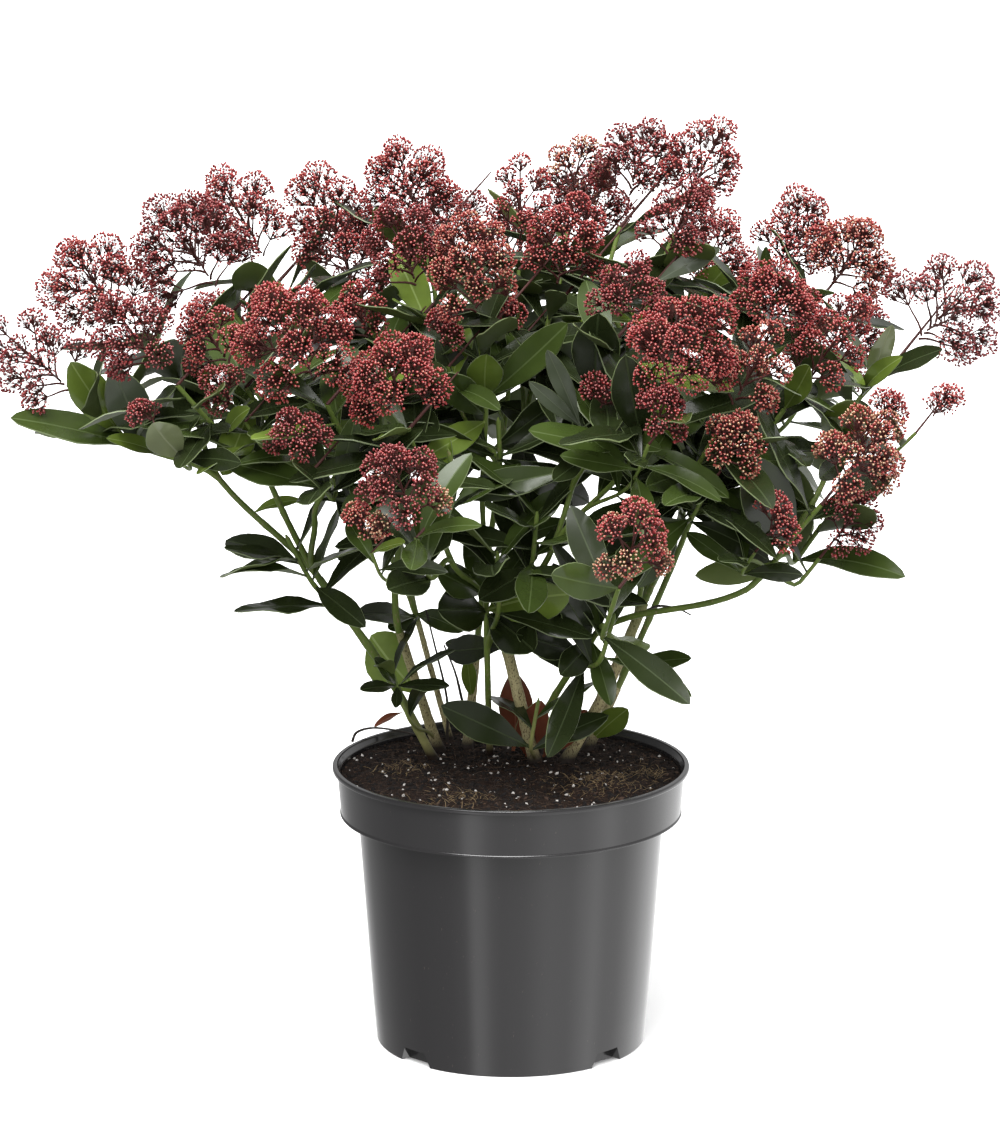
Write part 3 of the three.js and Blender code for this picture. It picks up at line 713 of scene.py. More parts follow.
def limb_tree():
    """Skins a line of points with a tube of their thickness and gives it the bark's relief."""
    tree, given = node_tree("limb with bark relief", [
        ("Sides", "NodeSocketInt", 12), ("Relief", "NodeSocketFloat", 0.1),
        ("Ridge Size", "NodeSocketFloat", 1.0), ("Material", "NodeSocketMaterial", None)])
    line = wire(tree, "GeometryNodeMeshToCurve", {"Mesh": given["Geometry"]})
    length = wire(tree, "GeometryNodeSplineParameter").outputs["Length"]
    line = wire(tree, "GeometryNodeStoreNamedAttribute", {
        "Geometry": line.outputs[0], "Name": "along", "Value": length},
        data_type="FLOAT", domain="POINT")
    ring = wire(tree, "GeometryNodeCurvePrimitiveCircle", {"Resolution": given["Sides"],
                                                           "Radius": 1.0})
    spot = wire(tree, "GeometryNodeInputPosition").outputs[0]
    ring = wire(tree, "GeometryNodeStoreNamedAttribute", {
        "Geometry": ring.outputs[0], "Name": "round", "Value": spot},
        data_type="FLOAT_VECTOR", domain="POINT")
    tube = wire(tree, "GeometryNodeCurveToMesh", {
        "Curve": line.outputs[0], "Profile Curve": ring.outputs[0],
        "Scale": told(tree, "thick", "FLOAT"), "Fill Caps": True})
    slow = wire(tree, "ShaderNodeMath", {0: told(tree, "along", "FLOAT"), 1: RIDGES_PER_M},
                operation="MULTIPLY")
    lift = wire(tree, "ShaderNodeCombineXYZ", {"Z": slow.outputs[0]})
    grid = wire(tree, "ShaderNodeVectorMath", {0: told(tree, "round", "FLOAT_VECTOR"),
                                               1: lift.outputs[0]})
    noise = wire(tree, "ShaderNodeTexNoise", {"Vector": grid.outputs[0],
                                              "Scale": given["Ridge Size"], "Detail": 3.0})
    middle = wire(tree, "ShaderNodeMath", {0: noise.outputs["Fac"], 1: 0.5}, operation="SUBTRACT")
    amount = wire(tree, "ShaderNodeMath", {0: middle.outputs[0], 1: given["Relief"]},
                  operation="MULTIPLY")
    normal = wire(tree, "GeometryNodeInputNormal").outputs[0]
    push = wire(tree, "ShaderNodeVectorMath", {0: normal, "Scale": amount.outputs[0]},
                operation="SCALE")
    moved = wire(tree, "GeometryNodeSetPosition", {"Geometry": tube.outputs[0],
                                                   "Offset": push.outputs[0]})
    soft = wire(tree, "GeometryNodeSetShadeSmooth", {"Geometry": moved.outputs[0]})
    return painted_end(tree, soft.outputs[0], given["Material"])


limb_skin = limb_tree()


def lines(name, paths):
    """One mesh of open lines, each a (points, radii) pair, with the radii kept as 'thick'."""
    points, edges, thick = [], [], []
    for path, radii in paths:
        n = len(points)
        points += list(np.asarray(path) * MM)
        edges += [(n + i, n + i + 1) for i in range(len(path) - 1)]
        thick += list(np.asarray(radii) * MM)
    mesh = bpy.data.meshes.new(name)
    mesh.from_pydata([tuple(p) for p in points], edges, [])
    mesh.attributes.new("thick", "FLOAT", "POINT").data.foreach_set("value", thick)
    return in_scene(name, mesh)


def skinned(name, paths, sides, relief, ridge, finish):
    """The tubes round a set of lines, with their ends closed and faces pointing out."""
    rough = lines(name + "_lines", paths)
    made = grown(rough, limb_skin, name, {"Sides": sides, "Relief": relief * MM,
                                          "Ridge Size": ridge, "Material": finish})
    bpy.data.objects.remove(rough)
    point_out(made)
    return made


def height_in(tree):
    """How high each point of a piece lies, in metres."""
    where = wire(tree, "ShaderNodeTexCoord").outputs["Object"]
    return wire(tree, "ShaderNodeSeparateXYZ", {0: where}).outputs["Z"]


def soiled_foot(tree, height, wood):
    """Darkens the wood's colour where it goes into the compost."""
    soiled = wire(tree, "ShaderNodeMapRange", {"Value": height, "From Min": 0.1785,
                                               "From Max": 0.188, "To Min": 1.0, "To Max": 0.0})
    return mixed(tree, soiled.outputs[0], wood, (0.02, 0.012, 0.008))


bark, shader = material("pale tan bark", (0.38, 0.31, 0.19), 0.75)
tree = bark.node_tree
marks = marks_on(tree, Blotch_Size=190.0, Speck_Size=1500.0, Speck_Amount=0.2, Stretch=0.35)
tans = mixed(tree, marks["Blotches"], (0.27, 0.23, 0.1), (0.55, 0.49, 0.27))
tans = mixed(tree, marks["Specks"], tans, (0.11, 0.08, 0.04))
height = height_in(tree)
young = wire(tree, "ShaderNodeMapRange", {"Value": height, "From Min": 0.235, "From Max": 0.3})
green_wash = mixed(tree, young.outputs[0], tans, (0.09, 0.13, 0.025))
patterned(tree, shader, soiled_foot(tree, height, green_wash), marks["Blotches"], 0.5, 0.0012)

bark_paths = []
for name, row in BARK_STEMS.items():
    path, thick = stem(name, *row)
    bark_paths.append((path, node_rings(path, thick, 31, 0.1, 26)))
bark_stems = skinned("bark_stems", bark_paths, 14, 0.9, 2.2, bark)
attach(bark_stems, "root")
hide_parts(*BARK_STEMS)

green_paths = []
for name, row in GREEN_STEMS.items():
    path, thick = stem(name, *row)
    green_paths.append((path, node_rings(path, thick, 36, 0.12, 30)))
for name, (parent, root_r, tip_r, tip) in BOUGHS.items():
    own = [s["low"] for m in masses if m["parent"] == name for s in m["shoots"]]
    start = limbs[parent]["tip"]
    end = place(tip) if isinstance(tip, list) else start + (np.mean(own, axis=0) - start) * tip
    end_dir = unit(unit(end - start) + UP * 0.15)
    curve, lead = grow_from(limbs[parent], end, end_dir)
    path = np.vstack([*lead, curve(np.linspace(0, 1, 30))])
    t = np.linspace(0, 1, len(path))
    limbs[name] = dict(curve=curve, tip=end, dir=end_dir, children=0)
    green_paths.append((path, node_rings(path, root_r + (tip_r - root_r) * t, 42, 0.14)))

DRY = [  # dead twigs and a curled strap of dead leaf by the rim, each as places along it
    [[-144.3, 71.4, 181.4], [-142.9, 69.0, 210.5], [-136.2, 69.3, 242.1], [-131.1, 73.0, 272.7]],
    [[-152.8, 69.7, 208.7], [-148.8, 70.2, 228.1], [-144.0, 74.1, 246.3]],
    [[109.1, 91.6, 276.3], [109.6, 101.5, 278.7], [108.3, 114.5, 276.2], [107.2, 121.9, 272.2]],
    [[-123.9, 125.6, 178.1], [-124.9, 124.0, 184.0], [-128.1, 116.7, 187.1],
     [-133.9, 101.0, 185.6], [-137.5, 84.1, 183.7]],
]
dry_wood, _ = material("dry dark twig", (0.03, 0.022, 0.016), 0.7)
dry_paths = []
for spots in DRY:
    path = through([place(p) for p in spots])(np.linspace(0, 1, 24))
    dry_paths.append((path, np.linspace(1.0, 0.55, 24)))
dry_twigs = skinned("dry_twigs", dry_paths, 6, 0.3, 1.6, dry_wood)
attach(dry_twigs, "root")

young_bark, shader = material("green young wood", (0.08, 0.13, 0.02), 0.5,
                              Specular_IOR_Level=0.35)
tree = young_bark.node_tree
marks = marks_on(tree, Blotch_Size=70.0, Speck_Size=700.0, Speck_Amount=0.13, Stretch=0.4)
greens = mixed(tree, marks["Blotches"], (0.055, 0.095, 0.014), (0.18, 0.245, 0.05))
greens = mixed(tree, marks["Specks"], greens, (0.2, 0.18, 0.08))
height = height_in(tree)
old = wire(tree, "ShaderNodeMapRange", {"Value": height, "From Min": 0.225, "From Max": 0.175})
tan_foot = mixed(tree, old.outputs[0], greens, (0.3, 0.27, 0.12))
patterned(tree, shader, soiled_foot(tree, height, tan_foot), marks["Blotches"], 0.3, 0.001)
green_stems = skinned("green_stems", green_paths, 12, 0.5, 1.6, young_bark)
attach(green_stems, "root")
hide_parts(*GREEN_STEMS, *BOUGHS)

# ---- leafy and flowering shoots ----------------------------------------------------------
# This year's shoots end the boughs: soft green wood, nearly four millimetres thick, which
# narrows under the head into a bare red-brown stalk. Short leafy shoots also come out of
# the stems low down.
SHOOT_R, SHOOT_TIP_R = 1.9, 1.5
LEAFY = {  # parent, how far up it they leave it, and for each its top's place and its size
    "mass_leaves_left": ("stem_left_green", 0.9, [-74, 146, 340]),
    "mass_leaves_low_left": ("stem_left_pale", 0.45, [-96, 76, 240, 0.6]),
    "mass_leaves_centre": ("stem_tall_green", 0.9, [-8, 62, 334], [16, 58, 358]),
    "mass_leaves_right": ("stem_front_green", 0.9, [50, 84, 292]),
    "mass_leaves_low": ("stem_centre", 0.3, [60, 20, 226, 0.8]),
}
shoot_paths = []
for mass in masses:
    for i, shoot in enumerate(mass["shoots"]):
        if i == 0:
            curve, lead = grow_from(limbs[mass["parent"]], shoot["low"], shoot["d"])
            first = curve
        else:
            at = 0.2 + 0.12 * i
            start = first(at)[0]
            behind, ahead = first(at - 1e-4)[0], first(at + 1e-4)[0]
            way = unit(unit(ahead - behind) + unit(shoot["low"] - start))
            curve, lead = bend(start, way, shoot["low"], shoot["d"]), [start - way * 1.5]
        shoot["curve"], shoot["lead"] = curve, lead
for name, (parent, share, *rows) in LEAFY.items():
    start = limbs[parent]["curve"](round(share * 8) / 8)[0]
    shoots = []
    for row in rows:
        shoot = shoot_end(row[:3])
        shoot["size"] = row[3] if len(row) > 3 else 1
        way = unit(unit(shoot["low"] - start) + UP * 0.3)
        shoot["curve"] = bend(start, way, shoot["low"], shoot["d"])
        shoot["lead"] = [start]
        shoots.append(shoot)
    masses.append(dict(name=name, parent=parent, shoots=shoots))
for mass in masses:
    for shoot in mass["shoots"]:
        low, top = shoot["low"], shoot["top"]
        count = max(6, int(np.linalg.norm(low - shoot["lead"][0]) / 4))
        path = np.vstack([*shoot["lead"], shoot["curve"](np.linspace(0, 1, count)),
                          *[low + (top - low) * t for t in (0.33, 0.66, 1)]])
        t = np.linspace(0, 1, len(path))
        thick = (SHOOT_R + (SHOOT_TIP_R - SHOOT_R) * t) * max(shoot["size"], 0.72)
        thick = node_rings(path, thick, 23, 0.1)
        if not shoot["wide"]:
            path = np.vstack([path, top + shoot["d"] * 3])
            thick = np.append(thick, thick[-1] * 0.3)
        shoot["end_r"] = thick[-1]
        shoot_paths.append((path, thick))
shoots_green = skinned("green_shoots", shoot_paths, 8, 0.25, 1.6, young_bark)
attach(shoots_green, "root")
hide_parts(*FLOWERING, *LEAFY)

# ---- leaves ------------------------------------------------------------------------------
# Leathery evergreen leaves, eight centimetres long on short stalks, in whorls under the heads and
# round the tops of the leafy shoots. They are glossy dark green above with a pale midrib and a
# thin pale margin, dull yellow green beneath, and a few are young and light. A few upper faces are
# a grey or pale sage green, a painted sheen of the white studio mirrored in their gloss.
LEAF_LONG, LEAF_LOW, LEAF_HIGH, GOLDEN = 80, 84, 48, 137.5  # mm, then degrees
WHORL, FEWER = 6, 5
LIMB_GAP, INNER_REACH = 5.5, 175
FRESH_SHARE, MID_SHARE, LOW_MID_SHARE = 0.1, 0.4, 0.35
STATIONS = (0, 0.05, 0.12, 0.22, 0.33, 0.45, 0.57, 0.68, 0.79, 0.88, 0.955)
LEAF_FORMS = [  # width, fold, droop, sweep aside, waviness, twist, all as shares of the length
    (0.150, 0.28, 0.10, 0.02, 0.014, 8), (0.138, 0.38, 0.18, -0.06, 0.022, -14),
    (0.158, 0.20, 0.04, 0.05, 0.018, 12), (0.142, 0.42, 0.24, 0.03, 0.012, -8),
    (0.132, 0.32, -0.04, -0.04, 0.024, 18), (0.150, 0.16, 0.14, 0.08, 0.028, -20)]
TINTS = {  # upper face, midrib above, underside
    "deep": ((0.015, 0.022, 0.0065), (0.036, 0.051, 0.018), (0.065, 0.09, 0.024)),
    "mid": ((0.032, 0.05, 0.01), (0.066, 0.095, 0.028), (0.115, 0.155, 0.038)),
    "fresh": ((0.11, 0.16, 0.025), (0.2, 0.27, 0.07), (0.21, 0.28, 0.075)),
    # The grey and sage tints paint the sheen of the white studio, mirrored in a glossy upper face,
    # into the leaf's own colour.
    "grey": ((0.06, 0.075, 0.045), (0.1, 0.12, 0.075), (0.1, 0.12, 0.06)),
    "sage": ((0.19, 0.22, 0.11), (0.25, 0.28, 0.15), (0.2, 0.23, 0.11)),
    "dead": ((0.13, 0.04, 0.022), (0.2, 0.075, 0.04), (0.19, 0.07, 0.04))}


def dice(seed):
    """Numbers from 0 to 1 that are the same on every run."""
    s = (seed * 48271 + 11) % 2147483647
    while True:
        s = s * 16807 % 2147483647
        yield s / 2147483647


def shape(name, points, faces, skin, crease=62):
    """A shape for copying, a millimetre in size, each face knowing which skin it has."""
    mesh = bpy.data.meshes.new(name)
    mesh.from_pydata((np.asarray(points) * MM).tolist(), [], faces)
    mesh.attributes.new("skin", "INT", "FACE").data.foreach_set("value", skin)
    mesh.polygons.foreach_set("use_smooth", [True] * len(faces))
    mesh.set_sharp_from_angle(angle=math.radians(crease))
    return bpy.data.objects.new(name, mesh)


def leaf_shape(name, wide, fold, droop, sweep, wave, twist):
    """One closed leaf a millimetre long: it runs along +Y and its upper face looks up."""
    points, faces, skin = [], [], []
    for s in STATIONS:
        t = max(0.0, (s - 0.04) / 0.96)
        half = 0.014 + wide * max(0.0, math.sin(math.pi * t ** 1.3)) ** 0.8
        rib = min(0.007, half * 0.35)
        middle = np.array([sweep * s ** 2, s * (1 - 0.25 * abs(droop) * s), -droop * s ** 2.2])
        ring = []
        for x in (-1, -0.965, -rib / half, rib / half, 0.965, 1):
            rise = fold * abs(x) * half * (1.2 - 0.9 * s) - (0.009 if abs(x) == 1 else 0)
            rise += wave * math.sin(11 * s + 2.5 * x + 50 * wide) * x * x * math.sin(math.pi * s)
            ring.append((x * half * (1 - 0.25 * fold), rise))
        ring.append((0, ring[2][1] - 0.017))
        a = math.radians(twist) * s
        cos, sin = math.cos(a), math.sin(a)
        points += [middle + [x * cos - z * sin, 0, x * sin + z * cos] for x, z in ring]
    points.append(np.array([sweep, 1 - 0.25 * abs(droop), -droop]))
    n, last = 7, len(STATIONS) - 1
    faces.append(list(range(n))[::-1])
    skin.append(2)
    for k in range(last + 1):
        for j, kind in enumerate((3, 0, 2, 0, 3, 1, 1)):
            low = [k * n + j, k * n + (j + 1) % n]
            if k == last:
                faces.append(low + [len(points) - 1])
            elif kind == 1:  # split the same way as the face above it, so the two never cross
                faces.append([low[1], low[1] + n, low[0] + n, low[0]])
            else:
                faces.append(low + [low[1] + n, low[0] + n])
            skin.append(2 if k < 1 else kind)
    return shape(name, points, faces, skin)


def set_out_tree():
    """Copies a shape to every point, turned and sized as the point says, and paints its skins."""
    tree, given = node_tree("shapes set out on points", [
        ("Shapes", "NodeSocketCollection", None),
        *[(f"Skin {k}", "NodeSocketMaterial", None) for k in range(4)]])
    turned_by = wire(tree, "FunctionNodeEulerToRotation", {
        "Euler": told(tree, "turn", "FLOAT_VECTOR")})
    shapes = wire(tree, "GeometryNodeCollectionInfo", {
        "Collection": given["Shapes"], "Separate Children": True, "Reset Children": True})
    copies = wire(tree, "GeometryNodeInstanceOnPoints", {
        "Points": given["Geometry"], "Instance": shapes.outputs[0], "Pick Instance": True,
        "Instance Index": told(tree, "kind", "INT"), "Rotation": turned_by.outputs[0],
        "Scale": told(tree, "size", "FLOAT_VECTOR")})
    last = wire(tree, "GeometryNodeRealizeInstances", {"Geometry": copies.outputs[0]}).outputs[0]
    skin = told(tree, "skin", "INT")
    for k in range(4):
        mine = wire(tree, "FunctionNodeCompare", {}, data_type="INT", operation="EQUAL")
        ints = [s for s in mine.inputs if s.type == "INT"]
        tree.links.new(skin, ints[0])
        ints[1].default_value = k
        last = wire(tree, "GeometryNodeSetMaterial", {
            "Geometry": last, "Selection": mine.outputs[0],
            "Material": given[f"Skin {k}"]}).outputs[0]
    wire(tree, "NodeGroupOutput", {"Geometry": last})
    return tree


set_out = set_out_tree()


def box_of_shapes(name, shapes):
    """The shapes that a layer picks from, in the order of their names."""
    box = bpy.data.collections.new(name)
    for s in shapes:
        box.objects.link(s)
    return box


def laid(name, rows, shapes, skins):
    """One joined mesh with a copy of a shape for each row: place, along, upward, size, kind."""
    turns = []
    for _, y, z, *_ in rows:
        y = unit(y)
        x = unit(np.cross(y, z))
        turns += list(Matrix(np.array([x, y, np.cross(x, y)]).T.tolist()).to_euler())
    mesh = bpy.data.meshes.new(name + "_points")
    mesh.from_pydata([tuple(np.asarray(r[0]) * MM) for r in rows], [], [])
    sizes = [v for r in rows for v in (r[3] if np.ndim(r[3]) else (r[3],) * 3)]
    for label, kind, field, values in (
            ("turn", "FLOAT_VECTOR", "vector", turns), ("size", "FLOAT_VECTOR", "vector", sizes),
            ("kind", "INT", "value", [r[4] for r in rows])):
        mesh.attributes.new(label, kind, "POINT").data.foreach_set(field, values)
    dots = in_scene(name + "_points", mesh)
    made = grown(dots, set_out, name, {"Shapes": shapes, **{
        f"Skin {k}": s for k, s in enumerate(skins)}})
    bpy.data.objects.remove(dots)
    return made


leaf_shapes = box_of_shapes("leaf forms", [
    leaf_shape(f"leaf form {k}", *form) for k, form in enumerate(LEAF_FORMS)])
limb_dots = np.vstack([p for p, _ in bark_paths + green_paths + shoot_paths])
leaf_rows = {tint: [] for tint in TINTS}
SHED = {  # leaves that have dropped: the shoot, and the leaf's number up from the whorl's foot
    "mass_far_left": [(0, 0), (0, -3), (0, -5), (0, 5), (1, -2), (1, 1)],
    "mass_left_front": [(1, -6), (0, -5), (0, 4), (0, 2)],
    "mass_left_high": [(0, 4)],
    "mass_left_inner": [(0, -3), (2, -4), (2, -7), (2, -1)],
    "mass_far_right": [(1, 2), (1, -1), (0, 4), (0, -3), (0, 0), (1, 0), (0, 3), (0, 2)],
    "mass_right_low": [(1, 0), (1, -2), (1, -5), (0, -4), (0, 4), (2, 0), (3, -1), (3, 2),
        (0, -1), (3, 1), (1, 1), (3, -4), (1, -3), (0, 1)],
    "mass_leaves_left": [(0, -1), (0, -4), (0, 4), (0, 5)],
    "mass_leaves_low_left": [(0, 3), (0, 1), (0, 0), (0, -1), (0, -2), (0, -4), (0, -5)],
    "mass_front_low": [(0, 3), (0, 1), (0, 0), (0, -2), (0, -3), (0, -4), (0, -5)],
    "mass_front_left": [(0, 3), (0, 1), (0, 0), (0, -2), (0, -3), (0, -4), (0, -5), (0, -7),
        (0, -8), (1, -1)],
    "mass_rear_left_top": [(1, 3)],
    "mass_leaves_right": [(0, 5), (0, 0), (0, -2), (0, -3), (0, -4)],
    "mass_leaves_low": [(0, 5), (0, 4), (0, 3), (0, 1), (0, -1), (0, -2), (0, -3), (0, -5)],
    "mass_leaves_centre": [(0, -3), (0, 0)],
    "mass_centre_top": [(0, 3)],
    "mass_centre_rear": [(0, 2)],
    "mass_right_top_rear": [(0, 3), (0, 2), (0, -1)],
    "mass_right_top": [(1, 3), (0, 3), (0, 0), (1, -4), (0, 1)],
    "mass_tall": [(0, 0), (0, -2), (0, -5), (2, 5), (2, 4), (2, 3), (2, 2)],
    "mass_front_left_high": [(0, 2), (0, -8), (1, 5), (1, 4), (1, 2), (1, -1), (1, -2)],
    "mass_front_right_high": [(0, 0), (0, -5), (0, -8), (1, 1), (2, 4), (2, 2), (2, 1), (2, -4)],
    "mass_front_right": [(0, -7), (1, -6)]}
LONE_LEAVES = [  # foot, tip, share that the face turns to the front, tint, form, breadth
    ([-85.7, 228.3, 391.4], [-80.7, 316.0, 419.2], 0.3, "mid", 0, 1.1),
    ([-86.0, 245.3, 401.3], [-79.5, 278.5, 454.6], 0.8, "fresh", 2, 1.1),
    ([-85.7, 228.3, 391.4], [-80.6, 252.0, 449.0], 0.7, "grey", 0, 1.35),
    ([-92.2, 198.5, 403.4], [-81.0, 208.1, 453.7], 0.5, "deep", 1, 1),
    ([-93.2, 199.8, 406.1], [-82.8, 193.3, 445.8], 0.7, "fresh", 0, 0.9),
    ([-66.0, 221.2, 402.4], [-59.8, 252.8, 430.6], 0.9, "sage", 2, 1.45),
    ([-85.4, 220.8, 389.0], [-78.5, 257.5, 406.6], 0.6, "fresh", 3, 0.9),
    ([-72.0, 168.9, 432.0], [-62.5, 200.0, 391.1], 0.8, "fresh", 2, 1.15),
    ([-71.7, 185.9, 408.1], [-58.8, 187.1, 434.5], 0.6, "fresh", 3, 1),
    ([-135.6, 116.3, 360.5], [-114.6, 157.0, 408.0], 0.75, "fresh", 3, 1.15),
    ([-135.2, 117.9, 370.1], [-116.5, 133.7, 430.1], 0.6, "deep", 1, 1),
    ([-73.0, 54.1, 471.2], [-53.3, 91.2, 494.2], 0.3, "fresh", 0, 1),
    ([-73.3, 47.8, 448.3], [-32.2, 61.9, 465.6], 0.5, "fresh", 4, 1),
    ([-24.6, 38.2, 417.7], [-28.4, 87.1, 451.9], 0.85, "mid", 2, 1.1),
    ([-23.5, 40.0, 429.1], [-12.4, 75.4, 463.8], 0.95, "fresh", 2, 1.4),
    ([-25.1, 37.8, 413.9], [-33.2, 100.5, 400.0], 0.8, "fresh", 3, 1),
    ([-23.5, 40.0, 429.1], [26.3, 78.6, 482.6], 0.8, "mid", 4, 1),
    ([41.7, 79.3, 432.5], [28.4, 109.4, 493.4], 0.9, "deep", 2, 1.3),
    ([38.0, 129.2, 415.2], [25.4, 159.0, 476.1], 0.8, "deep", 0, 1.1),
    ([30.0, 85.0, 418.8], [12.2, 100.0, 470.8], 0.7, "grey", 4, 0.75),
    ([30.0, 85.0, 418.8], [6.5, 95.1, 450.9], 0.8, "grey", 0, 0.7),
    ([142.0, 187.7, 447.2], [143.7, 159.6, 487.8], 0.7, "mid", 0, 1.2),
    ([142.0, 187.7, 447.2], [132.9, 193.7, 485.9], 0.9, "fresh", 2, 1.4),
    ([90.0, 91.0, 496.1], [90.0, 131.1, 517.9], 0.6, "grey", 2, 1),
    ([108.0, 161.4, 467.2], [97.0, 157.5, 492.4], 0.6, "grey", 0, 1.1),
    ([108.0, 170.2, 480.6], [105.8, 169.0, 511.7], 0.5, "mid", 4, 0.9),
    ([108.0, 157.0, 460.5], [98.2, 126.0, 479.8], 0.5, "mid", 0, 1.1),
    ([172.4, 36.1, 455.6], [114.3, 28.4, 478.3], 0.6, "grey", 0, 1),
    ([73.0, 177.5, 424.8], [62.0, 206.6, 460.7], 0.7, "fresh", 4, 1.1),
    ([88.0, 226.3, 430.5], [79.7, 241.6, 476.5], 0.8, "sage", 5, 0.75),
    ([88.0, 231.8, 436.2], [81.5, 271.7, 460.8], 0.5, "deep", 1, 1),
    ([87.8, 220.9, 424.6], [77.9, 248.4, 458.0], 0.6, "fresh", 3, 0.8),
    ([80.4, 205.6, 395.2], [65.8, 229.4, 439.0], 0.9, "fresh", 2, 1.2),
    ([122.0, 221.1, 390.7], [113.2, 191.1, 414.0], 0.7, "deep", 0, 1.1),
    ([-74.0, 138.7, 325.7], [-65.3, 195.8, 343.2], 0.2, "deep", 4, 0.8),
    ([-74.1, 132.9, 314.7], [-65.9, 192.0, 325.9], 0.3, "mid", 1, 0.8),
    ([-81.6, 113.0, 291.3], [-70.6, 185.2, 298.9], 0.4, "deep", 5, 0.75),
    ([-83.9, 164.4, 351.0], [-78.4, 135.1, 361.9], 0.4, "fresh", 3, 1),
    ([-45.7, 153.0, 379.7], [-40.1, 204.9, 413.2], 0.5, "deep", 0, 1),
    ([-126.3, 107.3, 321.0], [-104.2, 114.7, 310.5], 0.7, "deep", 2, 1.1),
    ([-19.0, 175.5, 368.3], [-15.9, 217.8, 358.7], 0.8, "mid", 2, 1.1),
    ([-28.0, 179.9, 357.3], [-18.6, 199.8, 370.7], 0.5, "fresh", 0, 1),
    ([-24.5, 95.7, 367.0], [-6.9, 123.4, 389.9], 0.4, "deep", 2, 1.1),
    ([-19.0, 175.5, 368.3], [-5.2, 194.1, 381.9], 0.4, "mid", 3, 0.9),
    ([-171.6, 105.5, 292.4], [152.9, 84.7, 325.1], 0.4, "mid", 3, 1),
    ([-84.1, 15.8, 284.2], [29.9, 72.5, 310.8], 0.8, "fresh", 5, 1.2),
    ([-87.3, 15.7, 282.0], [13.6, 63.7, 273.2], 0.8, "deep", 2, 1.25),
    ([-84.1, 15.8, 284.2], [-36.1, 77.7, 298.6], 0.7, "deep", 0, 1.4),
    ([-57.4, 21.0, 297.9], [-39.4, 73.0, 322.8], 0.7, "mid", 2, 1.1),
    ([-19.6, 145.9, 337.0], [-20.9, 207.4, 342.9], 0.6, "deep", 0, 1.2),
    ([-138.5, 93.0, 262.9], [-97.7, 99.7, 277.7], 0.5, "deep", 0, 0.9),
    ([-138.3, 93.2, 264.8], [-135.1, 43.8, 262.1], 0.6, "mid", 3, 1),
    ([-138.3, 93.2, 264.8], [-116.2, 88.6, 262.2], 0.7, "mid", 2, 1.1),
    ([-152.9, 6.4, 259.1], [-138.5, 63.5, 244.7], 0.7, "deep", 0, 1.1),
    ([-164.3, 81.7, 241.5], [-156.1, 107.2, 238.3], 0.5, "deep", 2, 1),
    ([78.3, 46.8, 258.2], [3.6, 48.2, 280.2], 0.6, "deep", 2, 1.1),
    ([97.4, 37.5, 241.0], [163.0, 60.6, 259.6], 0.8, "deep", 0, 1.2),
    ([71.7, 52.9, 266.8], [29.7, 61.7, 311.2], 0.8, "deep", 1, 1.1),
    ([19.0, 196.5, 341.9], [5.8, 228.8, 359.9], 0.7, "mid", 2, 1.1),
    ([20.7, 157.5, 303.0], [27.0, 234.1, 275.8], 0.6, "deep", 0, 0.8),
    ([134.2, 107.2, 228.4], [117.0, 132.8, 237.5], 0.5, "mid", 2, 1.1),
    ([70.3, 54.4, 268.8], [29.5, 63.6, 254.8], 0.8, "deep", 2, 1.3),
    ([70.3, 54.4, 268.8], [50.4, 81.7, 234.4], 0.7, "mid", 0, 1.0),
    ([75.7, 184.5, 327.2], [69.6, 260.3, 326.9], 0.4, "mid", 3, 1),
    ([62.1, 183.5, 328.3], [49.2, 183.1, 346.2], 0.3, "fresh", 5, 1),
    ([61.0, 196.0, 350.0], [46.4, 193.9, 398.5], 0.7, "deep", 2, 1.1),
    ([61.0, 201.7, 357.1], [50.0, 194.7, 409.1], 0.6, "deep", 0, 1),
    ([139.4, 82.6, 181.7], [119.8, 87.2, 208.2], 0.9, "fresh", 2, 1.4),
    ([66.2, 50.9, 253.1], [15.5, 81.5, 208.3], 0.9, "deep", 2, 0.75),
    ([-96.0, 73.5, 232.2], [-79.4, 97.9, 236.1], 0.4, "deep", 0, 1.1),
    ([-96.0, 73.5, 232.2], [-77.8, 39.9, 236.2], 0.4, "deep", 2, 1.1),
    ([-96.0, 73.5, 232.2], [-83.5, 74.0, 221.7], 0.6, "deep", 2, 1.2),
    ([-96.0, 73.5, 232.2], [-82.4, 88.1, 255.5], 0.5, "mid", 0, 1.1),
    ([72.4, 13.3, 194.5], [-64.0, 49.6, 226.5], 0.6, "deep", 0, 1.15),
    ([-126.3, 73.1, 217.0], [-136.3, 135.5, 242.4], 0.8, "fresh", 2, 1.5),
    ([-160.2, 75.3, 207.2], [-153.8, 64.6, 238.1], 0.5, "fresh", 0, 1),
    ([56.6, 67.8, 281.9], [93.1, 55.0, 301.9], 0.8, "deep", 2, 1.2),
    ([178.0, 48.0, 178.0], [175.0, 44.0, 232.0], 0.8, "dead", 1, 1.5),
    ([165.0, 40.0, 176.0], [120.0, 22.0, 222.0], 0.6, "dead", 3, 1.4),
    ([150.0, 42.0, 177.0], [112.0, 52.0, 214.0], 0.8, "dead", 5, 1.3),
    ([-104.0, 72.0, 212.0], [-92.0, 88.0, 206.0], 0.3, "dead", 3, 1.0),
]


def hits_wood(root, u, long):
    """Whether a blade would pass through a limb."""
    probe = root + u * np.linspace(0.3, 0.95, 7)[:, None] * long
    near = np.linalg.norm(limb_dots[None] - probe[:, None], axis=2).min()
    return near < LIMB_GAP


def whorl_axis(shoot, t):
    """The point on a shoot's axis, and its direction, at a share of the whorl's stretch."""
    if t >= 0:
        return shoot["top"] - shoot["d"] * WHORL_LONG * shoot["size"] * (1 - t), shoot["d"]
    start = shoot["lead"][0]
    span = np.linalg.norm(shoot["low"] - start) * 1.05
    at = max(0.12, 1 + t * WHORL_LONG * shoot["size"] / span)
    here, on = shoot["curve"]([at, min(1, at + 0.01)])
    return here, unit(on - here)


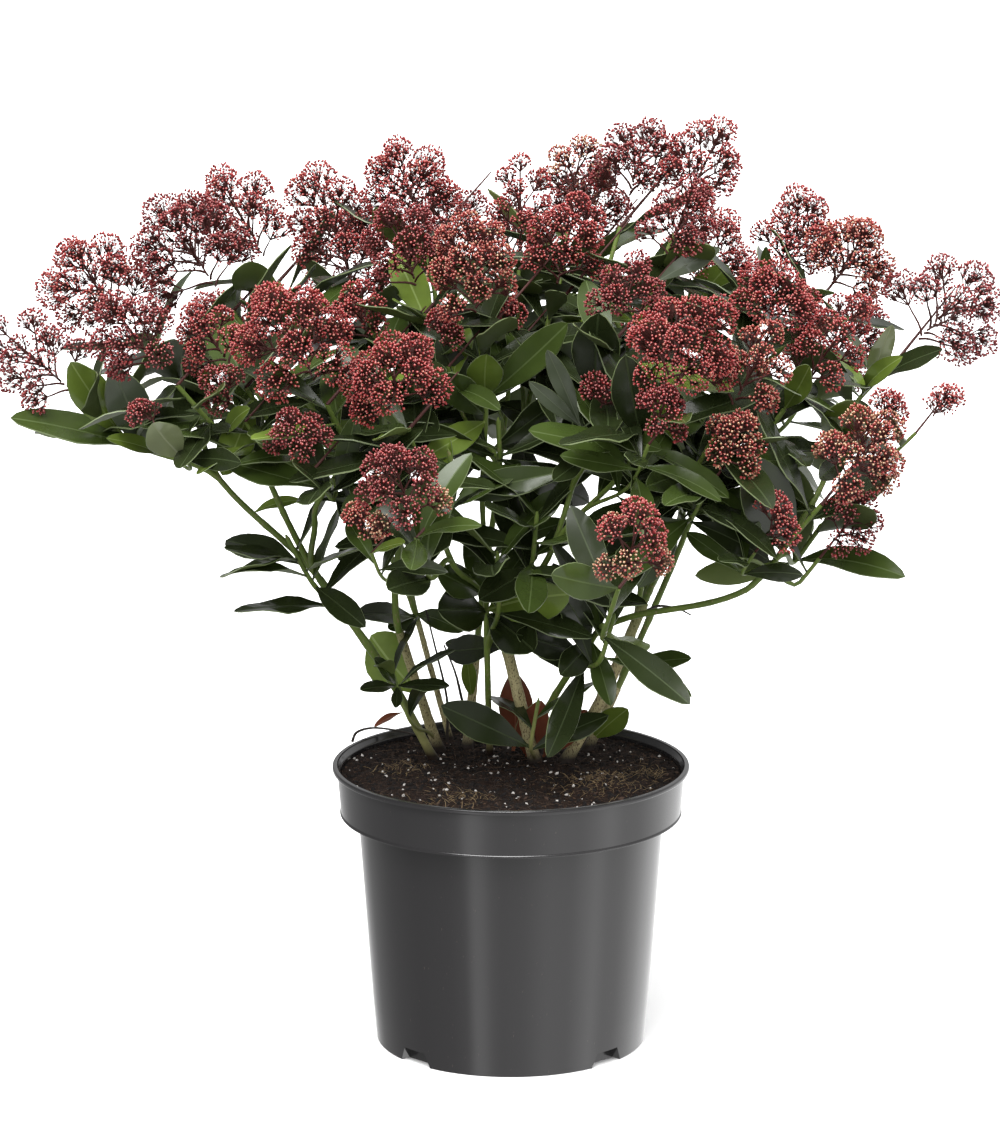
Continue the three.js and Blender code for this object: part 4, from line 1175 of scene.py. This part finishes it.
def put_leaf(shoot, t, angle, lot, tint, kind, extra=1.0):
    """Sets one leaf on a shoot, turned a little where it would touch a limb."""
    axis, d = whorl_axis(shoot, t)
    tilt = math.radians(min(90, LEAF_LOW + (LEAF_HIGH - LEAF_LOW) * t))
    long = LEAF_LONG * (0.8 + 0.3 * lot) * shoot["size"] * extra
    for turn in range(4):
        u = unit(sideways(d, angle + 22 * turn) * math.sin(tilt) + d * math.cos(tilt) + UP * 0.15)
        u = unit(u + UP * max(0, -0.1 - u[2]) * 0.7)  # a leaf on the low side lifts its tip
        root = axis + u * shoot["end_r"] * 0.6
        if not hits_wood(root, u, long):
            face = unit(d - u * float(d @ u))
            side = np.cross(u, face)
            face = unit(face + side * 0.5 * (lot - 0.5))
            leaf_rows[tint].append((root, u, face, long, kind))
            return


for index, mass in enumerate(masses):
    roll, more = dice(index + 1), dice(index + 101)
    for shoot in mass["shoots"]:
        shoot["roll"] = 360 * next(roll)
    for k in range(WHORL):
        for number, shoot in enumerate(mass["shoots"]):
            lot = next(roll)
            few = min(FEWER, shoot["wide"] / 12) if shoot["wide"] else WHORL
            luck, kind = next(more), int(6 * next(more))
            if k < few and (number, k) not in SHED.get(mass["name"], ()):
                tint = "fresh" if luck < FRESH_SHARE else "mid" if luck < MID_SHARE else "deep"
                put_leaf(shoot, k / (WHORL - 1), shoot["roll"] + GOLDEN * k, lot, tint, kind,
                         0.85 if k > 3 and shoot["wide"] else 1.0)
    for number, shoot in enumerate(mass["shoots"]):
        big = not 0 < shoot["wide"] < 30
        inside = np.linalg.norm(shoot["low"][:2]) < INNER_REACH
        for k in range(-1, (-9 if inside and shoot["wide"] else -6) if big else -3, -1):
            luck, lot, kind = next(more), next(more), int(6 * next(more))
            t = k / (WHORL - 1) if k > -6 else -2.1 + 0.25 * (k + 6)
            if (number, k) not in SHED.get(mass["name"], ()):
                tint = "mid" if luck < LOW_MID_SHARE else "deep"
                put_leaf(shoot, t, shoot["roll"] + GOLDEN * k, lot, tint, kind,
                         0.95 if k > -6 else 0.85)

for foot, tip, front, tint, kind, broad in LONE_LEAVES:
    foot, tip = place(foot), place(tip)
    way = unit(tip - foot)
    face = UP * (1 - front) + np.array([0, -front, 0.0])
    face = unit(face - way * float(face @ way))
    side = np.cross(way, face)
    droop, sweep = LEAF_FORMS[kind][2:4]
    own = side * sweep + way * (1 - 0.25 * abs(droop)) - face * droop
    turn = Vector(own).rotation_difference(Vector(way))
    long = np.linalg.norm(tip - foot) / np.linalg.norm(own)
    way, face = (np.array(turn @ Vector(v)) for v in (way, face))
    leaf_rows[tint].append((foot, way, face, (long * broad, long, long), kind))

leaf_edge, _ = material("pale leaf margin", (0.135, 0.17, 0.075), 0.4)
# For the grey and sage tints the upper face's colour is a painted sheen, not the leaf's own green.
for tint, (above, rib, beneath) in TINTS.items():
    over, shader = material(f"{tint} leaf top", above, 0.24, Specular_IOR_Level=0.5)
    tree = over.node_tree
    marks = marks_on(tree, Blotch_Size=45.0, Speck_Size=500.0, Speck_Amount=0.04)
    darker, lighter = (tuple(c * share for c in above) for share in (0.7, 1.55))
    patterned(tree, shader, mixed(tree, marks["Blotches"], darker, lighter), marks["Blotches"],
              0.12, 0.001)
    under, _ = material(f"{tint} leaf underside", beneath, 0.55, Specular_IOR_Level=0.3)
    midrib, _ = material(f"{tint} leaf midrib", rib, 0.45, Specular_IOR_Level=0.3)
    made = laid(f"leaves_{tint}", leaf_rows[tint], leaf_shapes, (over, under, midrib, leaf_edge))
    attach(made, "root")
    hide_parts(*FLOWERING, *LEAFY)

# ---- flower heads ------------------------------------------------------------------------
# Panicles of closed buds, four to seven centimetres across, over winter: a dozen domed clusters on
# branching red-brown stalks. Each bud is waxy and crimson, two millimetres long, and stands on a
# thin stalk of its own; its tip is paler where its petals will part, and that pale tip also serves
# as a painted highlight.
CLUSTER = 0.17
FEWEST_BUDS, BUDS_AT_9_MM = 36, 87  # in one cluster, and in one with a radius of 9 mm
BUD_LEAST, BUD_SPREAD, BUD_STALK_WIDE = 1.65, 0.75, 0.75
BUDS_PER_PIECE = 12000
HEAD_TINTS = {  # body of the bud, and its pale tip, which is partly a painted highlight
    "crimson": ((0.3, 0.027, 0.028), (0.47, 0.18, 0.16)),
    "maroon": ((0.17, 0.016, 0.019), (0.38, 0.15, 0.14)),
    "brick": ((0.3, 0.045, 0.033), (0.53, 0.27, 0.2)),
    "pale": ((0.34, 0.14, 0.08), (0.62, 0.5, 0.32))}
MIXED = {  # what a head's buds are: the tint, and the share of them up to and with it
    "crimson": (("crimson", 0.74), ("maroon", 0.88), ("brick", 1.01)),
    "maroon": (("maroon", 0.76), ("crimson", 1.01)),
    "brick": (("brick", 0.66), ("crimson", 0.88), ("pale", 1.01)),
    "pale": (("pale", 0.34), ("brick", 0.76), ("crimson", 1.01)),
    "low": (("pale", 0.62), ("brick", 0.88), ("crimson", 1.01))}
PALE_HEADS = {("mass_right_low", 0), ("mass_centre_rear", 0), ("mass_right_inner", 1)}
BRICK_HEADS = {("mass_tall", 0)}
MAROON_HEADS = {("mass_far_left", 0), ("mass_far_left", 1), ("mass_left_high", 0),
                ("mass_left_up", 0)}
# Loose heads, with how far their clusters shrink, and heads that are pale up to a share of
# their height.
OPEN_HEADS = {("mass_far_right", 0): 0.8, ("mass_far_left", 0): 0.86, ("mass_far_left", 1): 0.88,
              ("mass_far_right", 1): 0.85}
PALE_BELOW = {("mass_front_left", 0): 0.32, ("mass_front_low", 0): 0.5}


def clusters(base, d, wide, high, roll):
    """The domed clusters of a head, the topmost first: foot, middle and radius of each."""
    count = 3 if wide < 30 else 9 if wide < 48 else 12
    r = wide * (0.3 if count == 3 else CLUSTER)
    out = [(base + d * 0.3 * high, base + d * (high - 1.0 * r), r)]
    for i in range(count - 1):
        t = (i + 0.5) / (count - 1)
        up = high * (0.16 + 0.62 * t)
        away = (wide / 2 - r * 0.8) * math.sqrt(1 - 0.6 * t * t)
        side = sideways(d, roll + GOLDEN * i)
        out.append((base + d * 0.45 * high * t, base + d * up + side * away, r))
    return out


def bud_shape(name):
    """One closed bud, a millimetre long, standing on its stalk along +Y."""
    points, faces, skin = [(0, 0, 0)], [], []
    for along, r, turn in ((0.34, 0.47, 0), (0.8, 0.31, 60)):
        for a in np.radians([turn, turn + 120, turn + 240]):
            points.append((r * math.cos(a), along, r * math.sin(a)))
    points.append((0, 1, 0))
    for j in range(3):
        k = (j + 1) % 3
        faces += [[0, 1 + j, 1 + k], [1 + j, 4 + j, 1 + k], [4 + j, 4 + k, 1 + k],
                  [4 + j, 7, 4 + k]]
        # The three faces at the top take the pale tip colour, which is partly a painted highlight.
        skin += [0, 0, 0, 1]
    return shape(name, points, faces, skin, 180)


def stalk_shape(name):
    """The stalk of one bud, a millimetre long and wide, from its thick foot along +Y."""
    points = [(0.5 * math.cos(a), 0, 0.5 * math.sin(a)) for a in np.radians([0, 120, 240])]
    return shape(name, [*points, (0, 1, 0)], [[0, 1, 2], [0, 3, 1], [1, 3, 2], [2, 3, 0]], [0] * 4)


bud_shapes = box_of_shapes("bud form", [bud_shape("bud form")])
bud_rows = {tint: [] for tint in HEAD_TINTS}
stalk_paths, pedicel_rows = [], []
for index, mass in enumerate(masses):
    lots = dice(index + 201)
    for number, shoot in enumerate(mass["shoots"]):
        if not shoot["wide"]:
            continue
        key = (mass["name"], number)
        lot = next(lots)
        tint = ("pale" if key in PALE_HEADS else "brick" if key in BRICK_HEADS
                else "maroon" if key in MAROON_HEADS
                else "crimson" if lot < 0.68 else "maroon" if lot < 0.9 else "brick")
        d, base, high, r0 = shoot["d"], shoot["base"], shoot["high"], shoot["end_r"]
        axis = [shoot["top"] + d * (base + d * high * 0.62 - shoot["top"]) @ d * t
                for t in np.linspace(0, 1, 9)]
        stalk_paths.append((axis, np.linspace(r0 * 0.98, 0.6, 9)))
        for foot, middle, r in clusters(base, d, shoot["wide"], high, shoot["roll"]):
            r *= (0.8 + 0.4 * next(lots)) * OPEN_HEADS.get(key, 1)
            low = (middle - base) @ d < high * PALE_BELOW.get(key, 0)
            middle = middle + (np.array([next(lots), next(lots), next(lots)]) - 0.5) * r * 0.5
            way = unit(middle - foot)
            fork = middle - way * r * 0.75
            branch = bend(foot, unit(way + d * 0.6), fork, way)(np.linspace(0, 1, 6))
            stalk_paths.append((branch, np.linspace(0.85, 0.55, 6)))
            turn = 360 * next(lots)
            arms = [way] + [unit(way * 0.75 + sideways(way, turn + 72 * i) * 0.8)
                            for i in range(5)]
            ends = [fork + a * r * 0.72 for a in arms]
            stalk_paths += [([fork, e], [0.5, 0.4]) for e in ends]
            count = max(FEWEST_BUDS, int(BUDS_AT_9_MM * (r / 9) ** 1.5))
            for b in range(count):
                if b % 3 == 0:  # the buds stand in threes
                    high_up = 1 - 1.1 * (b + 0.5) / count
                    out = math.sqrt(max(0, 1 - high_up ** 2))
                    round_it = turn + GOLDEN * b / 3 + 16 * next(lots)
                    on = way * high_up + sideways(way, round_it) * out
                    three, reach = 360 * next(lots), 0.84 + 0.26 * next(lots)
                near = sideways(on, three + 120 * (b % 3)) * (1.1 + 0.45 * next(lots))
                spot = middle + on * r * reach + way * 0.1 * r + near + on * next(lots)
                end = min(ends, key=lambda e: np.linalg.norm(e - spot))
                point = unit(unit(spot - end) + on * 0.8)
                size = BUD_LEAST + BUD_SPREAD * next(lots)
                mix = MIXED["low" if low else tint]
                luck = next(lots)
                mine = next(t for t, share in mix if luck < share)
                bud_rows[mine].append((spot, point, sideways(point, 0), size, 0))
                way_up = spot + point * size * 0.5 - end
                pedicel_rows.append((end, way_up, sideways(unit(way_up), 0),
                                     (BUD_STALK_WIDE, np.linalg.norm(way_up), BUD_STALK_WIDE),
                                     0))

stalk_red, _ = material("red-brown flower stalk", (0.062, 0.018, 0.015), 0.55,
                        Specular_IOR_Level=0.3)
head_stalks = skinned("head_stalks", stalk_paths, 4, 0, 1.0, stalk_red)
stalk_shapes = box_of_shapes("bud stalk form", [stalk_shape("bud stalk form")])
pedicels = laid("bud_stalks", pedicel_rows, stalk_shapes, (stalk_red,))
for made in (head_stalks, pedicels):
    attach(made, "root")
    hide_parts(*FLOWERING)
for tint, (body, tip) in HEAD_TINTS.items():
    wax, _ = material(f"{tint} bud", body, 0.42)
    # The tip colour is partly the bud's paler tip and partly a painted highlight.
    pale_tip_and_highlight, _ = material(f"{tint} bud tip and highlight", tip, 0.5)
    for part, start in enumerate(range(0, len(bud_rows[tint]), BUDS_PER_PIECE)):
        rows = bud_rows[tint][start:start + BUDS_PER_PIECE]
        made = laid(f"buds_{tint}_{part + 1}", rows, bud_shapes, (wax, pale_tip_and_highlight))
        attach(made, "root")
        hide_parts(*FLOWERING)

# ---- floor, light and camera -------------------------------------------------------------
# A plain pale floor in a white studio. Soft light falls from above and a little in front,
# the pot mirrors a ring of lighter and darker strips round it, and a long lens looks down.
FLOOR_HALF, STRIP_TOP = 30, 3.5
LIGHT_WAY = (-0.08, -0.4, 0.913)
floor_mesh = bpy.data.meshes.new("floor")
floor_mesh.from_pydata([(FLOOR_HALF * x, FLOOR_HALF * y, 0)
                        for x, y in ((-1, -1), (1, -1), (1, 1), (-1, 1))], [], [(0, 1, 2, 3)])
floor = in_scene("floor", floor_mesh)
floor_paint, _ = material("pale floor", (0.93, 0.93, 0.93), 0.8, Specular_IOR_Level=0.2)
floor_mesh.materials.append(floor_paint)
floor.visible_glossy = False  # the pot mirrors the studio round it, not the floor
floor.visible_diffuse = False

world = bpy.data.worlds.new("studio")
bpy.context.scene.world = world
world.use_nodes = True
tree = world.node_tree
background = tree.nodes["Background"]
looking = wire(tree, "ShaderNodeTexCoord").outputs["Generated"]
way = wire(tree, "ShaderNodeSeparateXYZ", {0: looking})
back = wire(tree, "ShaderNodeMath", {0: way.outputs["Y"], 1: -1.0}, operation="MULTIPLY")
bearing = wire(tree, "ShaderNodeMath", {0: way.outputs["X"], 1: back.outputs[0]},
               operation="ARCTAN2")
share = wire(tree, "ShaderNodeMapRange", {"Value": bearing.outputs[0], "From Min": -math.pi,
                                          "From Max": math.pi})
STRIPS = [  # how bright the surround is at each bearing, in degrees from the front
    (-180, 1.6), (-157, 0.95), (-140, 0.6), (-109, 0.42), (-81, 0.36), (-50, 0.45), (-37, 0.6),
    (-29, 1.35), (-22, 1.2), (-16, 0.85), (-8, 0.7), (10, 0.8), (29, 1.15), (49, 1.1),
    (60, 1.45), (71, 1.8), (83, 1.3), (97, 1.25), (112, 1.6), (131, 2.0), (166, 1.9)]
ramp = wire(tree, "ShaderNodeValToRGB", {"Fac": share.outputs[0]})
stops = ramp.color_ramp.elements
while len(stops) > 1:
    stops.remove(stops[0])
for k, (degrees, level) in enumerate(STRIPS):
    stop = stops[0] if k == 0 else stops.new((degrees + 180) / 360)
    stop.position = (degrees + 180) / 360
    stop.color = (level / STRIP_TOP, level / STRIP_TOP, level / STRIP_TOP, 1)
strips = wire(tree, "ShaderNodeMath", {0: ramp.outputs["Color"], 1: STRIP_TOP},
              operation="MULTIPLY")
overhead = wire(tree, "ShaderNodeMapRange", {"Value": way.outputs["Z"], "From Min": -0.25,
                                             "From Max": 0.0, "To Min": 0.8, "To Max": 0.34})
mirrored = wire(tree, "ShaderNodeMath", {0: strips.outputs[0], 1: overhead.outputs[0]},
                operation="MULTIPLY")
facing = wire(tree, "ShaderNodeVectorMath", {0: looking, 1: LIGHT_WAY},
              operation="DOT_PRODUCT").outputs["Value"]
soft = wire(tree, "ShaderNodeMapRange", {"Value": facing, "From Min": -0.3, "To Min": 0.3,
                                         "To Max": 2.4})
softbox = wire(tree, "ShaderNodeMapRange", {"Value": facing, "From Min": 0.9, "From Max": 0.95,
                                            "To Max": 8.0})
rays = wire(tree, "ShaderNodeLightPath")
level = wire(tree, "ShaderNodeMix", {"Factor": rays.outputs["Is Glossy Ray"], "A": soft.outputs[0],
                                     "B": mirrored.outputs[0]})
lit = wire(tree, "ShaderNodeMath", {0: level.outputs[0], 1: softbox.outputs[0]})
level = wire(tree, "ShaderNodeMix", {"Factor": rays.outputs["Is Camera Ray"], "A": lit.outputs[0],
                                     "B": 1.0})
tree.links.new(level.outputs[0], background.inputs["Strength"])
background.inputs["Color"].default_value = (1, 1, 1, 1)

bpy.context.scene.view_settings.view_transform = "Standard"
camera = in_scene("camera", bpy.data.cameras.new("camera"))
camera.data.sensor_width, camera.data.lens = 36, 152.5
camera.location = (-0.007, -3.0, 1.003)
LOOKS_DOWN = 13
camera.rotation_euler = (math.radians(90 - LOOKS_DOWN), 0, 0)
camera.data.clip_end = 200
bpy.context.scene.camera = camera
